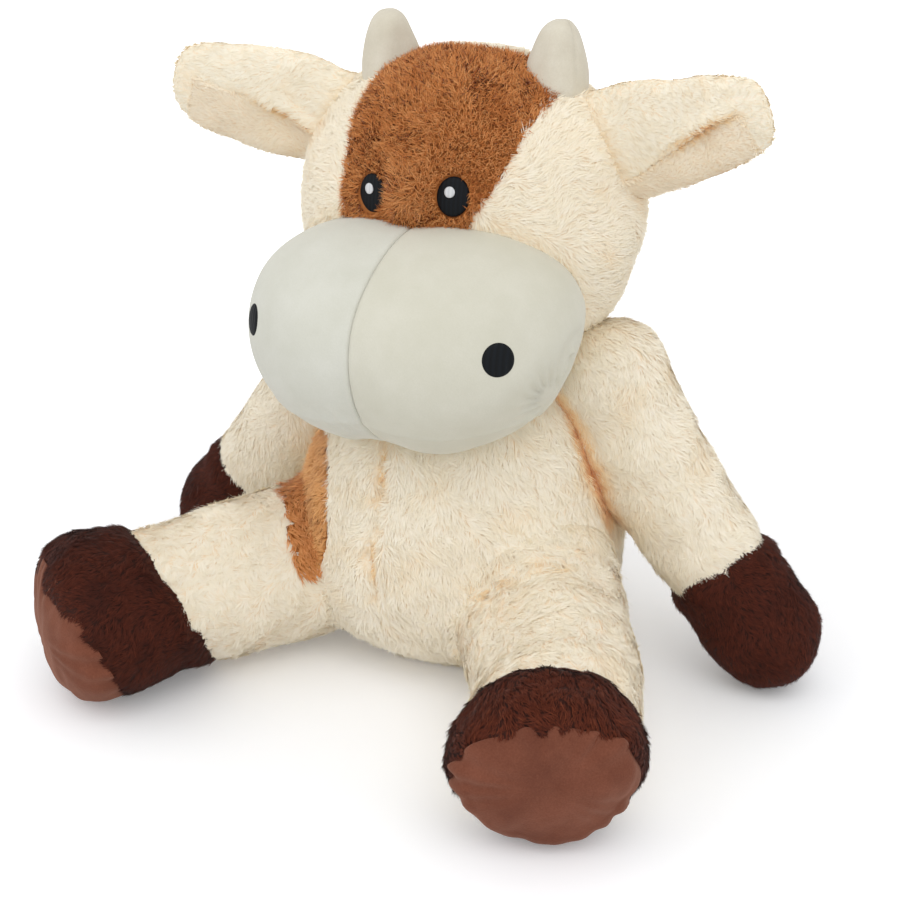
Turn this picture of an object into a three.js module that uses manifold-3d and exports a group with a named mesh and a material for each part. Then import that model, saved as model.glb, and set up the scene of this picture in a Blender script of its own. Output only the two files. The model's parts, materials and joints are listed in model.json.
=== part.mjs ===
// A sitting plush cow: cream long-pile panels over fibre fill, a tan forehead and flank patch, a smooth
// short-pile muzzle, brown hooves, soft horns and ears, and a pellet bag that weighs the seat.
// Lengths are in millimetres. +X is the cow's left, -Y its front and +Z up. The origin is on the floor, under
// the seat. Each piece that swings ends in a ball, in a slightly larger socket, as a sewn joint's stub does.
import * as THREE from "three";
import { mergeVertices } from "three/addons/utils/BufferGeometryUtils.js";
import Module from "manifold-3d";

const wasm = await Module();
wasm.setup();

// What all pieces share.
const clearance = 0.3; // between two pieces that touch
const swingClearance = 0.8; // between a piece and what swings past it
const longPile = 6; // backing and fur of the long-pile fabric
const shortPile = 3; // backing and nap of the smooth fabric
const flatDepth = 0.5; // how far a resting form is pressed flat
const stubWall = 9; // between a limb's ball end and its hollow
const overrun = 600; // how far a cutter reaches past what it cuts
const swingStepDegrees = 24; // between two places of a body that a swinging piece has to clear

// Torso: a pear that sits on its base. Share rows hold [along, side, front, back] from one end to the other.
const torso = { length: 202, side: 103, front: 106, back: 84, y: -4, sides: 16, levels: 10 };
const torsoShares = [
  [0, 0, 0, 0],
  [0.001, 0.5, 0.44, 0.5],
  [0.05, 0.76, 0.68, 0.74],
  [0.16, 0.93, 0.91, 0.92],
  [0.3, 1, 1, 1],
  [0.46, 0.98, 0.99, 1],
  [0.62, 0.89, 0.91, 0.94],
  [0.77, 0.76, 0.78, 0.83],
  [0.9, 0.55, 0.57, 0.62],
  [0.98, 0.27, 0.28, 0.3],
  [1, 0, 0, 0],
];
const sideSeamY = 18; // the front and back panels meet here
const pelletBagTop = 44; // the pellets fill the inside up to here
const seatPanel = { y: -2, halfWidth: 56, halfDepth: 48, height: 24, sides: 16 };
const flankPatch = { y: -20, z: 90, halfWidth: 38, halfHeight: 52, turnDegrees: 55, sides: 14 };

// Head: a round cushion, with the muzzle low on its front.
const head = { length: 183, side: 98, front: 78, back: 82, y: 10, bottom: 176, sides: 16, levels: 9 };
const headShares = [
  [0, 0, 0, 0],
  [0.02, 0.32, 0.32, 0.32],
  [0.1, 0.66, 0.66, 0.66],
  [0.24, 0.88, 0.9, 0.88],
  [0.42, 1, 1, 0.99],
  [0.6, 0.98, 0.98, 1],
  [0.77, 0.86, 0.88, 0.9],
  [0.9, 0.63, 0.66, 0.68],
  [0.98, 0.3, 0.33, 0.34],
  [1, 0, 0, 0],
];
const gussetHalfWidth = 38; // the strip that runs from the forehead over to the nape
const neck = { y: 8, z: 176, ball: 44, downDegrees: 8, backDegrees: 10 };

// What sits on the head has its place as shares of the head's half width and of its height.
const acrossHead = (share) => share * head.side;
const upHead = (share) => head.bottom + share * head.length;

// Muzzle: a wide form along X, drawn in at the centre seam. Its side is the half height.
const muzzle = {
  length: 194, side: 64, front: 80, back: 60, y: -60, upShare: 0.197, sides: 16, levels: 10,
};
const muzzleShares = [
  [0, 0, 0, 0],
  [0.012, 0.28, 0.28, 0.28],
  [0.06, 0.6, 0.53, 0.6],
  [0.14, 0.82, 0.74, 0.82],
  [0.26, 0.96, 0.93, 0.96],
  [0.38, 1, 1.01, 1],
  [0.5, 0.965, 0.985, 1],
  [0.62, 1, 1.01, 1],
  [0.74, 0.96, 0.93, 0.96],
  [0.86, 0.82, 0.74, 0.82],
  [0.94, 0.6, 0.53, 0.6],
  [0.988, 0.28, 0.28, 0.28],
  [1, 0, 0, 0],
];
const nostril = {
  acrossShare: 0.6, outShare: 0.459, upShare: 0.17, radius: 8.3, turnDegrees: 40, thread: 1, sides: 12,
};

// Forehead patch, seen from the front: a corner's share of the patch's half width and of its height.
const forehead = { halfWidthShare: 0.592, bottomShare: 0.481, topShare: 1.027, backY: 6 };
const foreheadShares = [
  [-0.78, 0],
  [0.42, 0],
  [0.72, 0.3],
  [1, 0.72],
  [0.92, 1],
  [-0.72, 1],
  [-0.86, 0.6],
  [-0.82, 0.2],
];
const eye = { acrossShare: 0.235, upShare: 0.612, halfWidth: 8.6, halfHeight: 10, thread: 1, sides: 12 };
const highlight = { right: 1.5, up: 2.5, radius: 2.9, thread: 0.5, sides: 8 };

// Horn: a round-tipped cone on the top of the head. Its share rows hold [radius, height].
const horn = {
  acrossShare: 0.5, y: 4, upShare: 0.776, length: 57, radius: 19, leanDegrees: 4, sides: 10,
};
const hornShares = [
  [0, 0],
  [1, 0],
  [0.97, 0.38],
  [0.8, 0.66],
  [0.58, 0.88],
  [0.28, 0.985],
  [0, 1],
];

// Ear: a leaf folded round a smooth lining, from its root on the head's side out to its tip.
const ear = {
  x: acrossHead(0.816), y: 8, z: upHead(0.743), ball: 13,
  length: 121, side: 35, front: 13, back: 13, root: -16, sides: 10, levels: 7,
  outDegrees: 66, riseDegrees: 10, rollDegrees: 12,
  liftDegrees: 10, dropDegrees: 20,
};
const earShares = [
  [0, 0, 0, 0],
  [0.03, 0.5, 0.5, 0.5],
  [0.14, 0.78, 0.85, 0.85],
  [0.34, 1, 1, 1],
  [0.56, 0.97, 0.94, 0.94],
  [0.76, 0.87, 0.84, 0.84],
  [0.92, 0.62, 0.6, 0.6],
  [0.985, 0.3, 0.3, 0.3],
  [1, 0, 0, 0],
];
const scoop = { shift: 9, wall: 4, lining: 2.5 }; // the ear's hollow: how far forward, its rim and lining

// Arm: hangs from the shoulder down and outward to a hoof on the floor.
const arm = {
  x: 86, y: 10, z: 166, ball: 28,
  length: 226, side: 36, front: 33, back: 33, root: -26, sides: 10, levels: 9,
  riseDegrees: -51, hoofShare: 0.637,
  liftDegrees: 35, dropDegrees: 8,
};
const armShares = [
  [0, 0, 0, 0],
  [0.02, 0.5, 0.42, 0.42],
  [0.09, 0.92, 0.8, 0.8],
  [0.2, 1.1, 0.98, 0.98],
  [0.36, 1.04, 0.97, 0.97],
  [0.54, 0.95, 0.94, 0.94],
  [0.7, 0.98, 0.97, 0.97],
  [0.83, 1, 1, 1],
  [0.93, 0.78, 0.8, 0.8],
  [0.985, 0.38, 0.4, 0.4],
  [1, 0, 0, 0],
];

// Leg: lies on the floor, forward and outward from the hip, and ends in a hoof with a flat sole.
const leg = {
  x: 64, y: -46, z: 47, ball: 33,
  length: 214, side: 52, front: 51, back: 49, root: -26, sides: 11, levels: 9,
  leftOutDegrees: 27, rightOutDegrees: 35, hoofShare: 0.692, soleShare: 0.897, soleTiltDegrees: 20,
  liftDegrees: 22, dropDegrees: 5,
};
const legShares = [
  [0, 0, 0, 0],
  [0.02, 0.4, 0.4, 0.4],
  [0.1, 0.76, 0.76, 0.76],
  [0.22, 0.88, 0.86, 0.88],
  [0.4, 0.86, 0.85, 0.9],
  [0.58, 0.85, 0.84, 0.88],
  [0.7, 0.92, 0.92, 0.92],
  [0.8, 1, 1, 1],
  [0.88, 1, 1.02, 1],
  [0.95, 0.87, 0.88, 0.84],
  [0.99, 0.5, 0.5, 0.5],
  [1, 0, 0, 0],
];

// Tail: a thin stub at the back with a brown tuft.
const tail = {
  x: 0, y: 70, z: 56, ball: 10,
  length: 82, side: 14, front: 14, back: 14, root: -8, sides: 10, levels: 10,
  riseDegrees: -32, tuftShare: 0.66, liftDegrees: 50, dropDegrees: 0,
};
const tailShares = [
  [0, 0, 0, 0],
  [0.03, 0.42, 0.42, 0.42],
  [0.12, 0.6, 0.6, 0.6],
  [0.35, 0.56, 0.56, 0.56],
  [0.58, 0.62, 0.62, 0.62],
  [0.74, 0.95, 0.95, 0.95],
  [0.86, 1, 1, 1],
  [0.96, 0.6, 0.6, 0.6],
  [1, 0, 0, 0],
];

// Coarser counts for the faces that nobody sees, and the opening that a ball end is filled through.
const innerSides = 8;
const innerLevels = 6;
const cutterSides = 12;
const ballSides = 12;
const ballLevels = 5;
const mouthShare = 0.55; // of the ball's radius

const material = (color, roughness) => () => (
  new THREE.MeshStandardMaterial({ color, roughness, metalness: 0 })
);
const creamPile = material("#F0E4CD", 0.95);
const tanPile = material("#BE7D41", 0.95);
const brownPile = material("#4B261C", 0.95);
const brownNap = material("#87503E", 0.9);
const paleNap = material("#DCDACB", 0.9);
const liningNap = material("#F3DFC6", 0.9);
const darkThread = material("#15171F", 0.6);
const paleThread = material("#D8DADC", 0.6);
const fibreFill = material("#FAFAFA", 1);
const pellets = material("#C9CED2", 0.7);

const axisX = new THREE.Vector3(1, 0, 0);
const axisY = new THREE.Vector3(0, 1, 0);
const axisZ = new THREE.Vector3(0, 0, 1);
const origin = new THREE.Vector3();
const radians = THREE.MathUtils.degToRad;

/** A closed mesh as a solid that can be joined and cut. */
function solid(geometry) {
  const bare = new THREE.BufferGeometry();
  bare.setAttribute("position", geometry.attributes.position);
  bare.setIndex(geometry.index);
  const merged = mergeVertices(bare);
  const vertProperties = new Float32Array(merged.attributes.position.array);
  return new wasm.Manifold(new wasm.Mesh({
    numProp: 3,
    vertProperties,
    triVerts: Uint32Array.from(merged.index.array),
  }));
}

/** The mesh of a solid, mirrored to the cow's right where asked. */
function geometryOf(shape, mirror = false) {
  const { vertProperties, triVerts } = shape.getMesh();
  const geometry = new THREE.BufferGeometry();
  geometry.setAttribute("position", new THREE.BufferAttribute(vertProperties, 3));
  geometry.setIndex(new THREE.BufferAttribute(mirror ? triVerts.slice().reverse() : triVerts, 1));
  return mirror ? geometry.scale(-1, 1, 1) : geometry;
}

/** A solid's mirror image on the cow's right. */
const mirrored = (shape) => solid(geometryOf(shape, true));

/** The largest body of a solid, without the crumbs that a cut leaves. */
const mainBody = (cut) => cut.decompose().reduce((best, part) => (
  part.volume() > best.volume() ? part : best
));

/** A geometry whose points have moved out along their normals, or in where the distance is negative. */
function grown(geometry, distance) {
  geometry.computeVertexNormals();
  const { position, normal } = geometry.attributes;
  const point = new THREE.Vector3();
  const out = new THREE.Vector3();
  for (let i = 0; i < position.count; i += 1) {
    point.fromBufferAttribute(position, i).addScaledVector(out.fromBufferAttribute(normal, i), distance);
    position.setXYZ(i, ...point.toArray());
  }
  return geometry;
}

/** A closed form along +Z that swells and tapers by its share rows, with a point at each end. */
function swelling({ length, side, front, back, root = 0 }, rows, sides, levels) {
  const width = rows[0].length;
  const along = rows.map((row, i) => i / (rows.length - 1));
  const curve = new THREE.CubicInterpolant(along, rows.flat(), width, new Float32Array(width));
  const points = [0, 0, root];
  for (let level = 1; level < levels; level += 1) {
    const [z, x, yFront, yBack] = curve.evaluate(level / levels);
    for (let i = 0; i < sides; i += 1) {
      const angle = (2 * Math.PI * i) / sides;
      const deep = Math.sin(angle) < 0 ? yFront * front : yBack * back;
      points.push(x * side * Math.cos(angle), deep * Math.sin(angle), root + z * length);
    }
  }
  points.push(0, 0, root + length);
  const faces = [];
  const tip = 1 + (levels - 1) * sides;
  for (let i = 0; i < sides; i += 1) {
    const next = (i + 1) % sides;
    faces.push(0, 1 + next, 1 + i);
    for (let level = 0; level < levels - 2; level += 1) {
      const ring = 1 + level * sides;
      faces.push(ring + i, ring + next, ring + sides + next);
      faces.push(ring + i, ring + sides + next, ring + sides + i);
    }
    faces.push(tip, tip - sides + i, tip - sides + next);
  }
  const geometry = new THREE.BufferGeometry();
  geometry.setAttribute("position", new THREE.Float32BufferAttribute(points, 3));
  geometry.setIndex(faces);
  return geometry;
}

/** The ball that a swinging piece ends in, faceted alike all round the axis that it turns about. */
function ballOf({ pivot, axis }, radius) {
  return solid(new THREE.SphereGeometry(radius, ballSides, ballLevels)
    .applyQuaternion(new THREE.Quaternion().setFromUnitVectors(axisY, axis))
    .translate(...pivot.toArray()));
}

/** The half of space on the side of a plane that the direction points to. */
function beyond(point, direction) {
  const box = new THREE.BoxGeometry(2 * overrun, 2 * overrun, 2 * overrun).translate(0, 0, overrun);
  box.applyQuaternion(new THREE.Quaternion().setFromUnitVectors(axisZ, direction.clone().normalize()));
  return solid(box.translate(...point.toArray()));
}

/** A straight bar of an upright outline that leaves a point towards a level heading. */
function bar(outline, point, heading) {
  const across = new THREE.Vector3().crossVectors(axisZ, heading);
  return solid(new THREE.ExtrudeGeometry(new THREE.Shape(outline), { depth: overrun, bevelEnabled: false })
    .applyMatrix4(new THREE.Matrix4().makeBasis(across, axisZ, heading).setPosition(point)));
}

/** The points of an oval about a centre. */
function oval(x, y, halfWidth, halfHeight, sides) {
  const step = (2 * Math.PI) / sides;
  return Array.from({ length: sides }, (unused, i) => (
    new THREE.Vector2(x + halfWidth * Math.cos(i * step), y + halfHeight * Math.sin(i * step))
  ));
}

/** The turn by an angle about an axis through a pivot. */
function turnAbout(pivot, axis, angle) {
  return new THREE.Matrix4()
    .makeRotationAxis(axis, angle)
    .setPosition(pivot)
    .multiply(new THREE.Matrix4().makeTranslation(pivot.clone().negate()));
}

/** The space that a form takes, seen from a piece that turns about a pivot between two angles. */
function swept(geometry, { pivot, axis, fromDegrees, toDegrees }) {
  const steps = Math.max(1, Math.ceil((toDegrees - fromDegrees) / swingStepDegrees));
  return Array.from({ length: steps + 1 }, (unused, i) => {
    const degrees = fromDegrees + ((toDegrees - fromDegrees) * i) / steps;
    return solid(geometry.clone().applyMatrix4(turnAbout(pivot, axis, -radians(degrees))));
  }).reduce((space, place) => space.add(place));
}

/** The place of a limb that leaves a pivot towards a heading, with its back to a direction. */
function placement(pivot, heading, backwards) {
  const across = new THREE.Vector3().crossVectors(backwards, heading).normalize();
  const back = new THREE.Vector3().crossVectors(heading, across);
  return new THREE.Matrix4().makeBasis(across, back, heading).setPosition(pivot);
}

const aboveFloor = beyond(origin, axisZ);

/** A group at a pivot, which holds the pieces of one body. */
function bodyAt(pivot, parent) {
  const group = new THREE.Group();
  group.userData.pivot = pivot;
  group.position.copy(pivot);
  if (parent) {
    group.position.sub(parent.userData.pivot);
    parent.add(group);
  }
  return group;
}

/** Adds a solid to a body as a named piece, mirrored to the cow's right where asked. */
function addPiece(body, name, shape, makeMaterial, mirror = false) {
  const geometry = geometryOf(mainBody(shape), mirror);
  geometry.translate(...body.userData.pivot.clone().negate().toArray());
  geometry.computeVertexNormals();
  const mesh = new THREE.Mesh(geometry, makeMaterial());
  mesh.name = name;
  body.add(mesh);
}

/** Adds a solid of the cow's left and its mirror image to a pair of bodies. */
function addPair([leftBody, rightBody], name, shape, makeMaterial) {
  addPiece(leftBody, name.replace("SIDE", "left"), shape, makeMaterial);
  addPiece(rightBody, name.replace("SIDE", "right"), shape, makeMaterial, true);
}

/** The two bodies of a pair of limbs. */
function bodyPair(pivot, parent) {
  return [bodyAt(pivot, parent), bodyAt(new THREE.Vector3(-pivot.x, pivot.y, pivot.z), parent)];
}

// Where each body turns, and about which axis. A positive angle nods the head and lifts a limb.
const aim = (out, rise) => new THREE.Vector3(
  Math.sin(radians(out)) * Math.cos(radians(rise)),
  -Math.cos(radians(out)) * Math.cos(radians(rise)),
  Math.sin(radians(rise)),
);
const lifting = (heading) => new THREE.Vector3().crossVectors(heading, axisZ).normalize();
const armHeading = aim(90, arm.riseDegrees);
const earHeading = aim(ear.outDegrees, ear.riseDegrees);
const tailHeading = aim(180, tail.riseDegrees);
const neckSwing = {
  pivot: new THREE.Vector3(0, neck.y, neck.z),
  axis: axisX, fromDegrees: -neck.backDegrees, toDegrees: neck.downDegrees,
};
const swingOf = (limb, heading) => ({
  pivot: new THREE.Vector3(limb.x, limb.y, limb.z),
  axis: lifting(heading), fromDegrees: -limb.dropDegrees, toDegrees: limb.liftDegrees,
});
const armSwing = swingOf(arm, armHeading);
const legHeading = (side) => aim(side === "left" ? leg.leftOutDegrees : leg.rightOutDegrees, 0);
const legSwing = (side) => swingOf(leg, legHeading(side));
const earSwing = swingOf(ear, earHeading);
const tailSwing = swingOf(tail, tailHeading);

/** The torso's outer face, moved out by a distance. */
function torsoForm(distance, sides = torso.sides, levels = torso.levels) {
  return grown(swelling(torso, torsoShares, sides, levels).translate(0, torso.y, -flatDepth), distance);
}

/** The head's outer face without its muzzle, moved out by a distance. */
function headForm(distance, sides = head.sides, levels = head.levels) {
  return grown(swelling(head, headShares, sides, levels).translate(0, head.y, head.bottom), distance);
}

/** The muzzle's outer face, moved out by a distance. */
function muzzleForm(distance, sides = muzzle.sides, levels = muzzle.levels) {
  const geometry = swelling(muzzle, muzzleShares, sides, levels).translate(0, 0, -muzzle.length / 2);
  return grown(geometry.rotateY(Math.PI / 2).translate(0, muzzle.y, upHead(muzzle.upShare)), distance);
}

/** A limb's outer face in its place, moved out by a distance and let down to be pressed on the floor. */
function limbForm(limb, rows, place, distance, sides = limb.sides, levels = limb.levels) {
  const plain = swelling(limb, rows, limb.sides, limb.levels).applyMatrix4(place);
  plain.computeBoundingBox();
  return grown(swelling(limb, rows, sides, levels).applyMatrix4(place), distance)
    .translate(0, 0, -flatDepth - plain.boundingBox.min.z);
}

/** A point on a limb's axis, at a distance from its pivot. */
const along = (swing, heading, distance) => swing.pivot.clone().addScaledVector(heading, distance);

/** The place of a seam across a limb, at a share of its length. */
const seamOf = (limb, swing, heading, share) => along(swing, heading, limb.root + share * limb.length);

/** The straight way that a limb is filled through, from behind its ball end into its hollow. */
function mouth(pivot, heading, ball, depth = 0) {
  const radius = mouthShare * ball - depth;
  return solid(new THREE.CylinderGeometry(radius, radius, overrun + 2 * ball, ballSides)
    .translate(0, 2 * ball - (overrun + 2 * ball) / 2, 0)
    .applyQuaternion(new THREE.Quaternion().setFromUnitVectors(axisY, heading))
    .translate(...pivot.toArray()));
}

/** A limb's cover and the fill inside it. Its body's form is what it swings past, at a distance. */
function limbLayers({ limb, rows, place, heading, swing, bodyForm }) {
  const ball = ballOf(swing, limb.ball);
  const outer = solid(limbForm(limb, rows, place, 0))
    .subtract(swept(bodyForm(swingClearance), swing))
    .add(ball)
    .intersect(aboveFloor);
  const insideAt = (depth) => solid(limbForm(limb, rows, place, -depth, innerSides, innerLevels))
    .subtract(swept(bodyForm(swingClearance + depth, cutterSides), swing))
    .intersect(beyond(along(swing, heading, limb.ball + stubWall + depth), heading))
    .intersect(beyond(new THREE.Vector3(0, 0, depth), axisZ));
  const plug = mouth(swing.pivot, heading, limb.ball, clearance).intersect(ball);
  return {
    cover: mainBody(outer.subtract(insideAt(longPile)).subtract(mouth(swing.pivot, heading, limb.ball))),
    fill: mainBody(insideAt(longPile + clearance).add(plug)),
  };
}

/** What lies before a seam and what lies beyond it, half a clearance away on either side. */
function splitAt(shape, point, direction) {
  const gap = direction.clone().setLength(clearance / 2);
  return [
    shape.intersect(beyond(point.clone().sub(gap), direction.clone().negate())),
    shape.intersect(beyond(point.clone().add(gap), direction)),
  ];
}

const torsoBody = bodyAt(origin);
const headBody = bodyAt(neckSwing.pivot, torsoBody);
const armBodies = bodyPair(armSwing.pivot, torsoBody);
const legBodies = bodyPair(legSwing("left").pivot, torsoBody);
const tailBody = bodyAt(tailSwing.pivot, torsoBody);
const earBodies = bodyPair(earSwing.pivot, headBody);

/** The hollow that a ball end turns in: its flats, and not its corners, clear the ball. */
const socket = (swing, ball) => ballOf(swing, (ball + clearance) / Math.cos(Math.PI / ballSides));

/** The hollows for a ball on the cow's left and for another on its right. */
const sockets = (ball, left, right = left) => socket(left, ball).add(mirrored(socket(right, ball)));

/** The torso: four long-pile panels and a flank patch over fibre fill and the seat's bag of pellets. */
function buildTorso() {
  const hollows = socket(neckSwing, neck.ball)
    .add(sockets(arm.ball, armSwing))
    .add(sockets(leg.ball, legSwing("left"), legSwing("right")))
    .add(socket(tailSwing, tail.ball));
  const inside = (depth) => solid(torsoForm(-depth, innerSides, innerLevels));
  const cover = solid(torsoForm(0)).subtract(inside(longPile)).subtract(hollows).intersect(aboveFloor);
  const [fillBelow, fillAbove] = splitAt(
    inside(longPile + clearance).subtract(hollows),
    new THREE.Vector3(0, 0, pelletBagTop),
    axisZ,
  );
  const seatAt = (gap) => solid(new THREE.ExtrudeGeometry(
    new THREE.Shape(
      oval(0, seatPanel.y, seatPanel.halfWidth + gap, seatPanel.halfDepth + gap, seatPanel.sides),
    ),
    { depth: overrun, bevelEnabled: false },
  ).translate(0, 0, seatPanel.height + gap - overrun));
  const walls = cover.subtract(seatAt(clearance));
  const [front, back] = splitAt(walls, new THREE.Vector3(0, sideSeamY, 0), axisY);
  const [frontRight, frontLeft] = splitAt(front, origin, axisX);
  const [backRight, backLeft] = splitAt(back, origin, axisX);
  const { y, z, halfWidth, halfHeight, turnDegrees, sides } = flankPatch;
  const patchAt = (gap) => bar(
    oval(0, 0, halfWidth + gap, halfHeight + gap, sides),
    new THREE.Vector3(0, y, z),
    aim(-turnDegrees, 0),
  );
  addPiece(torsoBody, "body_front_left", frontLeft, creamPile);
  addPiece(torsoBody, "body_front_right", frontRight.subtract(patchAt(clearance)), creamPile);
  addPiece(torsoBody, "body_back_left", backLeft, creamPile);
  addPiece(torsoBody, "body_back_right", backRight, creamPile);
  addPiece(torsoBody, "flank_patch", frontRight.intersect(patchAt(0)), tanPile);
  addPiece(torsoBody, "seat_panel", cover.intersect(seatAt(0)), creamPile);
  addPiece(torsoBody, "body_stuffing", fillAbove, fibreFill);
  addPiece(torsoBody, "seat_pellet_bag", fillBelow, pellets);
}

/** The head: sides, a back gusset and a forehead patch in long pile, and a smooth two-part muzzle. */
function buildHead() {
  const headSolid = (distance) => solid(headForm(distance));
  const outer = headSolid(0)
    .add(solid(muzzleForm(0)))
    .subtract(swept(torsoForm(swingClearance), neckSwing))
    .add(ballOf(neckSwing, neck.ball));
  const insideAt = (gap) => solid(headForm(-longPile - gap, innerSides, innerLevels))
    .add(solid(muzzleForm(-shortPile - gap, innerSides, innerLevels)))
    .subtract(swept(torsoForm(swingClearance + longPile + gap, cutterSides), neckSwing));
  const shell = outer.subtract(insideAt(0))
    .subtract(mouth(neckSwing.pivot, axisZ, neck.ball))
    .subtract(sockets(ear.ball, earSwing));
  const plug = mouth(neckSwing.pivot, axisZ, neck.ball, clearance)
    .intersect(ballOf(neckSwing, neck.ball));
  const muzzleSpace = solid(muzzleForm(clearance));
  const muzzleShell = shell.intersect(muzzleSpace).subtract(headSolid(clearance));
  const headShell = shell.subtract(muzzleSpace.subtract(headSolid(0)));
  const [muzzleRight, muzzleLeft] = splitAt(muzzleShell, origin, axisX);

  const frontwards = axisY.clone().negate();
  const low = upHead(forehead.bottomShare);
  const high = upHead(forehead.topShare);
  const outlineOf = (gap) => foreheadShares.map(([x, z]) => new THREE.Vector2(
    x * (acrossHead(forehead.halfWidthShare) + gap),
    THREE.MathUtils.lerp(low - gap, high + gap, z),
  ));
  const patchAt = (gap) => bar(outlineOf(gap), new THREE.Vector3(0, forehead.backY + gap, 0), frontwards);
  const gussetAt = (gap) => bar(
    [[-1, -1], [1, -1], [1, 1], [-1, 1]].map(([x, z]) => (
      new THREE.Vector2(x * (gussetHalfWidth + gap), z * overrun)
    )),
    new THREE.Vector3(0, forehead.backY + clearance - gap, 0),
    axisY,
  );
  const bare = headShell.subtract(patchAt(clearance));
  const [sideRight, sideLeft] = splitAt(bare.subtract(gussetAt(clearance)), origin, axisX);
  addPiece(headBody, "head_side_left", sideLeft, creamPile);
  addPiece(headBody, "head_side_right", sideRight, creamPile);
  addPiece(headBody, "head_back_gusset", bare.intersect(gussetAt(0)), creamPile);
  addPiece(headBody, "forehead_patch", headShell.intersect(patchAt(0)), tanPile);
  addPiece(headBody, "muzzle_left", muzzleLeft, paleNap);
  addPiece(headBody, "muzzle_right", muzzleRight, paleNap);
  const fill = insideAt(clearance).subtract(sockets(ear.ball, earSwing)).add(plug);
  addPiece(headBody, "head_stuffing", fill, fibreFill);

  // Embroidery lies on the fabric as a thin sheet of thread.
  const layer = (form, from, thickness) => solid(form(from + thickness)).subtract(solid(form(from)));
  const bothOnHead = [headBody, headBody];
  const eyeX = acrossHead(eye.acrossShare);
  const eyeZ = upHead(eye.upShare);
  const eyeAt = bar(oval(eyeX, eyeZ, eye.halfWidth, eye.halfHeight, eye.sides), origin, frontwards);
  addPair(bothOnHead, "eye_SIDE", layer(headForm, clearance, eye.thread).intersect(eyeAt), darkThread);
  const shine = layer(headForm, clearance + eye.thread + clearance, highlight.thread);
  const shineAt = (x) => shine.intersect(bar(
    oval(x - highlight.right, eyeZ + highlight.up, highlight.radius, highlight.radius, highlight.sides),
    origin,
    frontwards,
  ));
  addPiece(headBody, "eye_highlight_left", shineAt(eyeX), paleThread);
  addPiece(headBody, "eye_highlight_right", shineAt(-eyeX), paleThread);
  const nostrilFacing = aim(nostril.turnDegrees, 0);
  const nostrilAt = bar(
    oval(0, 0, nostril.radius, nostril.radius, nostril.sides),
    new THREE.Vector3(
      nostril.acrossShare * (muzzle.length / 2),
      muzzle.y - nostril.outShare * muzzle.front,
      upHead(muzzle.upShare) + nostril.upShare * muzzle.side,
    ),
    nostrilFacing,
  );
  const nostrilPiece = layer(muzzleForm, clearance, nostril.thread).intersect(nostrilAt);
  addPair(bothOnHead, "nostril_SIDE", nostrilPiece, darkThread);
}

/** The horns: soft cones of smooth fabric over fill, which stand on the head. */
function buildHorns() {
  const cone = (depth) => solid(new THREE.LatheGeometry(
    hornShares.map(([radius, height]) => (
      new THREE.Vector2(radius * (horn.radius - depth), height * (horn.length - depth))
    )),
    horn.sides,
  ).rotateX(Math.PI / 2).rotateY(radians(horn.leanDegrees))
    .translate(acrossHead(horn.acrossShare), horn.y, upHead(horn.upShare)));
  const headSpace = solid(headForm(clearance));
  const cover = cone(0).subtract(cone(shortPile)).subtract(headSpace);
  const fill = cone(shortPile + clearance).subtract(headSpace);
  addPair([headBody, headBody], "horn_SIDE_cover", cover, paleNap);
  addPair([headBody, headBody], "horn_SIDE_stuffing", fill, fibreFill);
}

/** The ears: a long-pile leaf, hollowed in front, that holds a smooth lining. */
function buildEars() {
  const turned = axisY.clone().applyAxisAngle(earHeading, radians(ear.rollDegrees));
  const place = placement(earSwing.pivot, earHeading, turned);
  const leaf = (distance, shift) => solid(grown(
    swelling(ear, earShares, ear.sides, ear.levels).translate(0, shift, 0).applyMatrix4(place),
    distance,
  ));
  const headSpace = swept(headForm(swingClearance), earSwing);
  const whole = leaf(0, 0).subtract(headSpace).add(ballOf(earSwing, ear.ball));
  const hollow = leaf(-scoop.wall, -scoop.shift).subtract(ballOf(earSwing, ear.ball + clearance));
  const lining = hollow.subtract(leaf(-scoop.wall - scoop.lining, -scoop.shift - scoop.lining))
    .intersect(leaf(0, 0))
    .subtract(headSpace);
  const opened = leaf(-scoop.wall + clearance, -scoop.shift).subtract(ballOf(earSwing, ear.ball));
  addPair(earBodies, "ear_SIDE_outer", whole.subtract(opened), creamPile);
  addPair(earBodies, "ear_SIDE_lining", lining, liningNap);
}

/** The arms: a cream sleeve and a brown hoof over one fill. */
function buildArms() {
  const place = placement(armSwing.pivot, armHeading, axisY);
  const { cover, fill } = limbLayers({
    limb: arm, rows: armShares, place, heading: armHeading, swing: armSwing, bodyForm: torsoForm,
  });
  const [sleeve, hoof] = splitAt(cover, seamOf(arm, armSwing, armHeading, arm.hoofShare), armHeading);
  addPair(armBodies, "arm_SIDE_cover", sleeve, creamPile);
  addPair(armBodies, "arm_SIDE_hoof", hoof, brownPile);
  addPair(armBodies, "arm_SIDE_stuffing", fill, fibreFill);
}

/** The legs: a cream sleeve, a brown hoof and a smooth sole over one fill, each at its own splay. */
function buildLegs() {
  ["left", "right"].forEach((side, i) => {
    const heading = legHeading(side);
    const swing = legSwing(side);
    const { cover, fill } = limbLayers({
      limb: leg, rows: legShares, place: placement(swing.pivot, heading, axisZ.clone().negate()),
      heading, swing, bodyForm: torsoForm,
    });
    const [sleeve, foot] = splitAt(cover, seamOf(leg, swing, heading, leg.hoofShare), heading);
    const soleFacing = heading.clone().applyAxisAngle(swing.axis, -radians(leg.soleTiltDegrees));
    const [hoof, sole] = splitAt(foot, seamOf(leg, swing, heading, leg.soleShare), soleFacing);
    const add = (name, shape, makeMaterial) => (
      addPiece(legBodies[i], `leg_${side}_${name}`, shape, makeMaterial, side === "right")
    );
    add("cover", sleeve, creamPile);
    add("hoof", hoof, brownPile);
    add("sole", sole, brownNap);
    add("stuffing", fill, fibreFill);
  });
}

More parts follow.
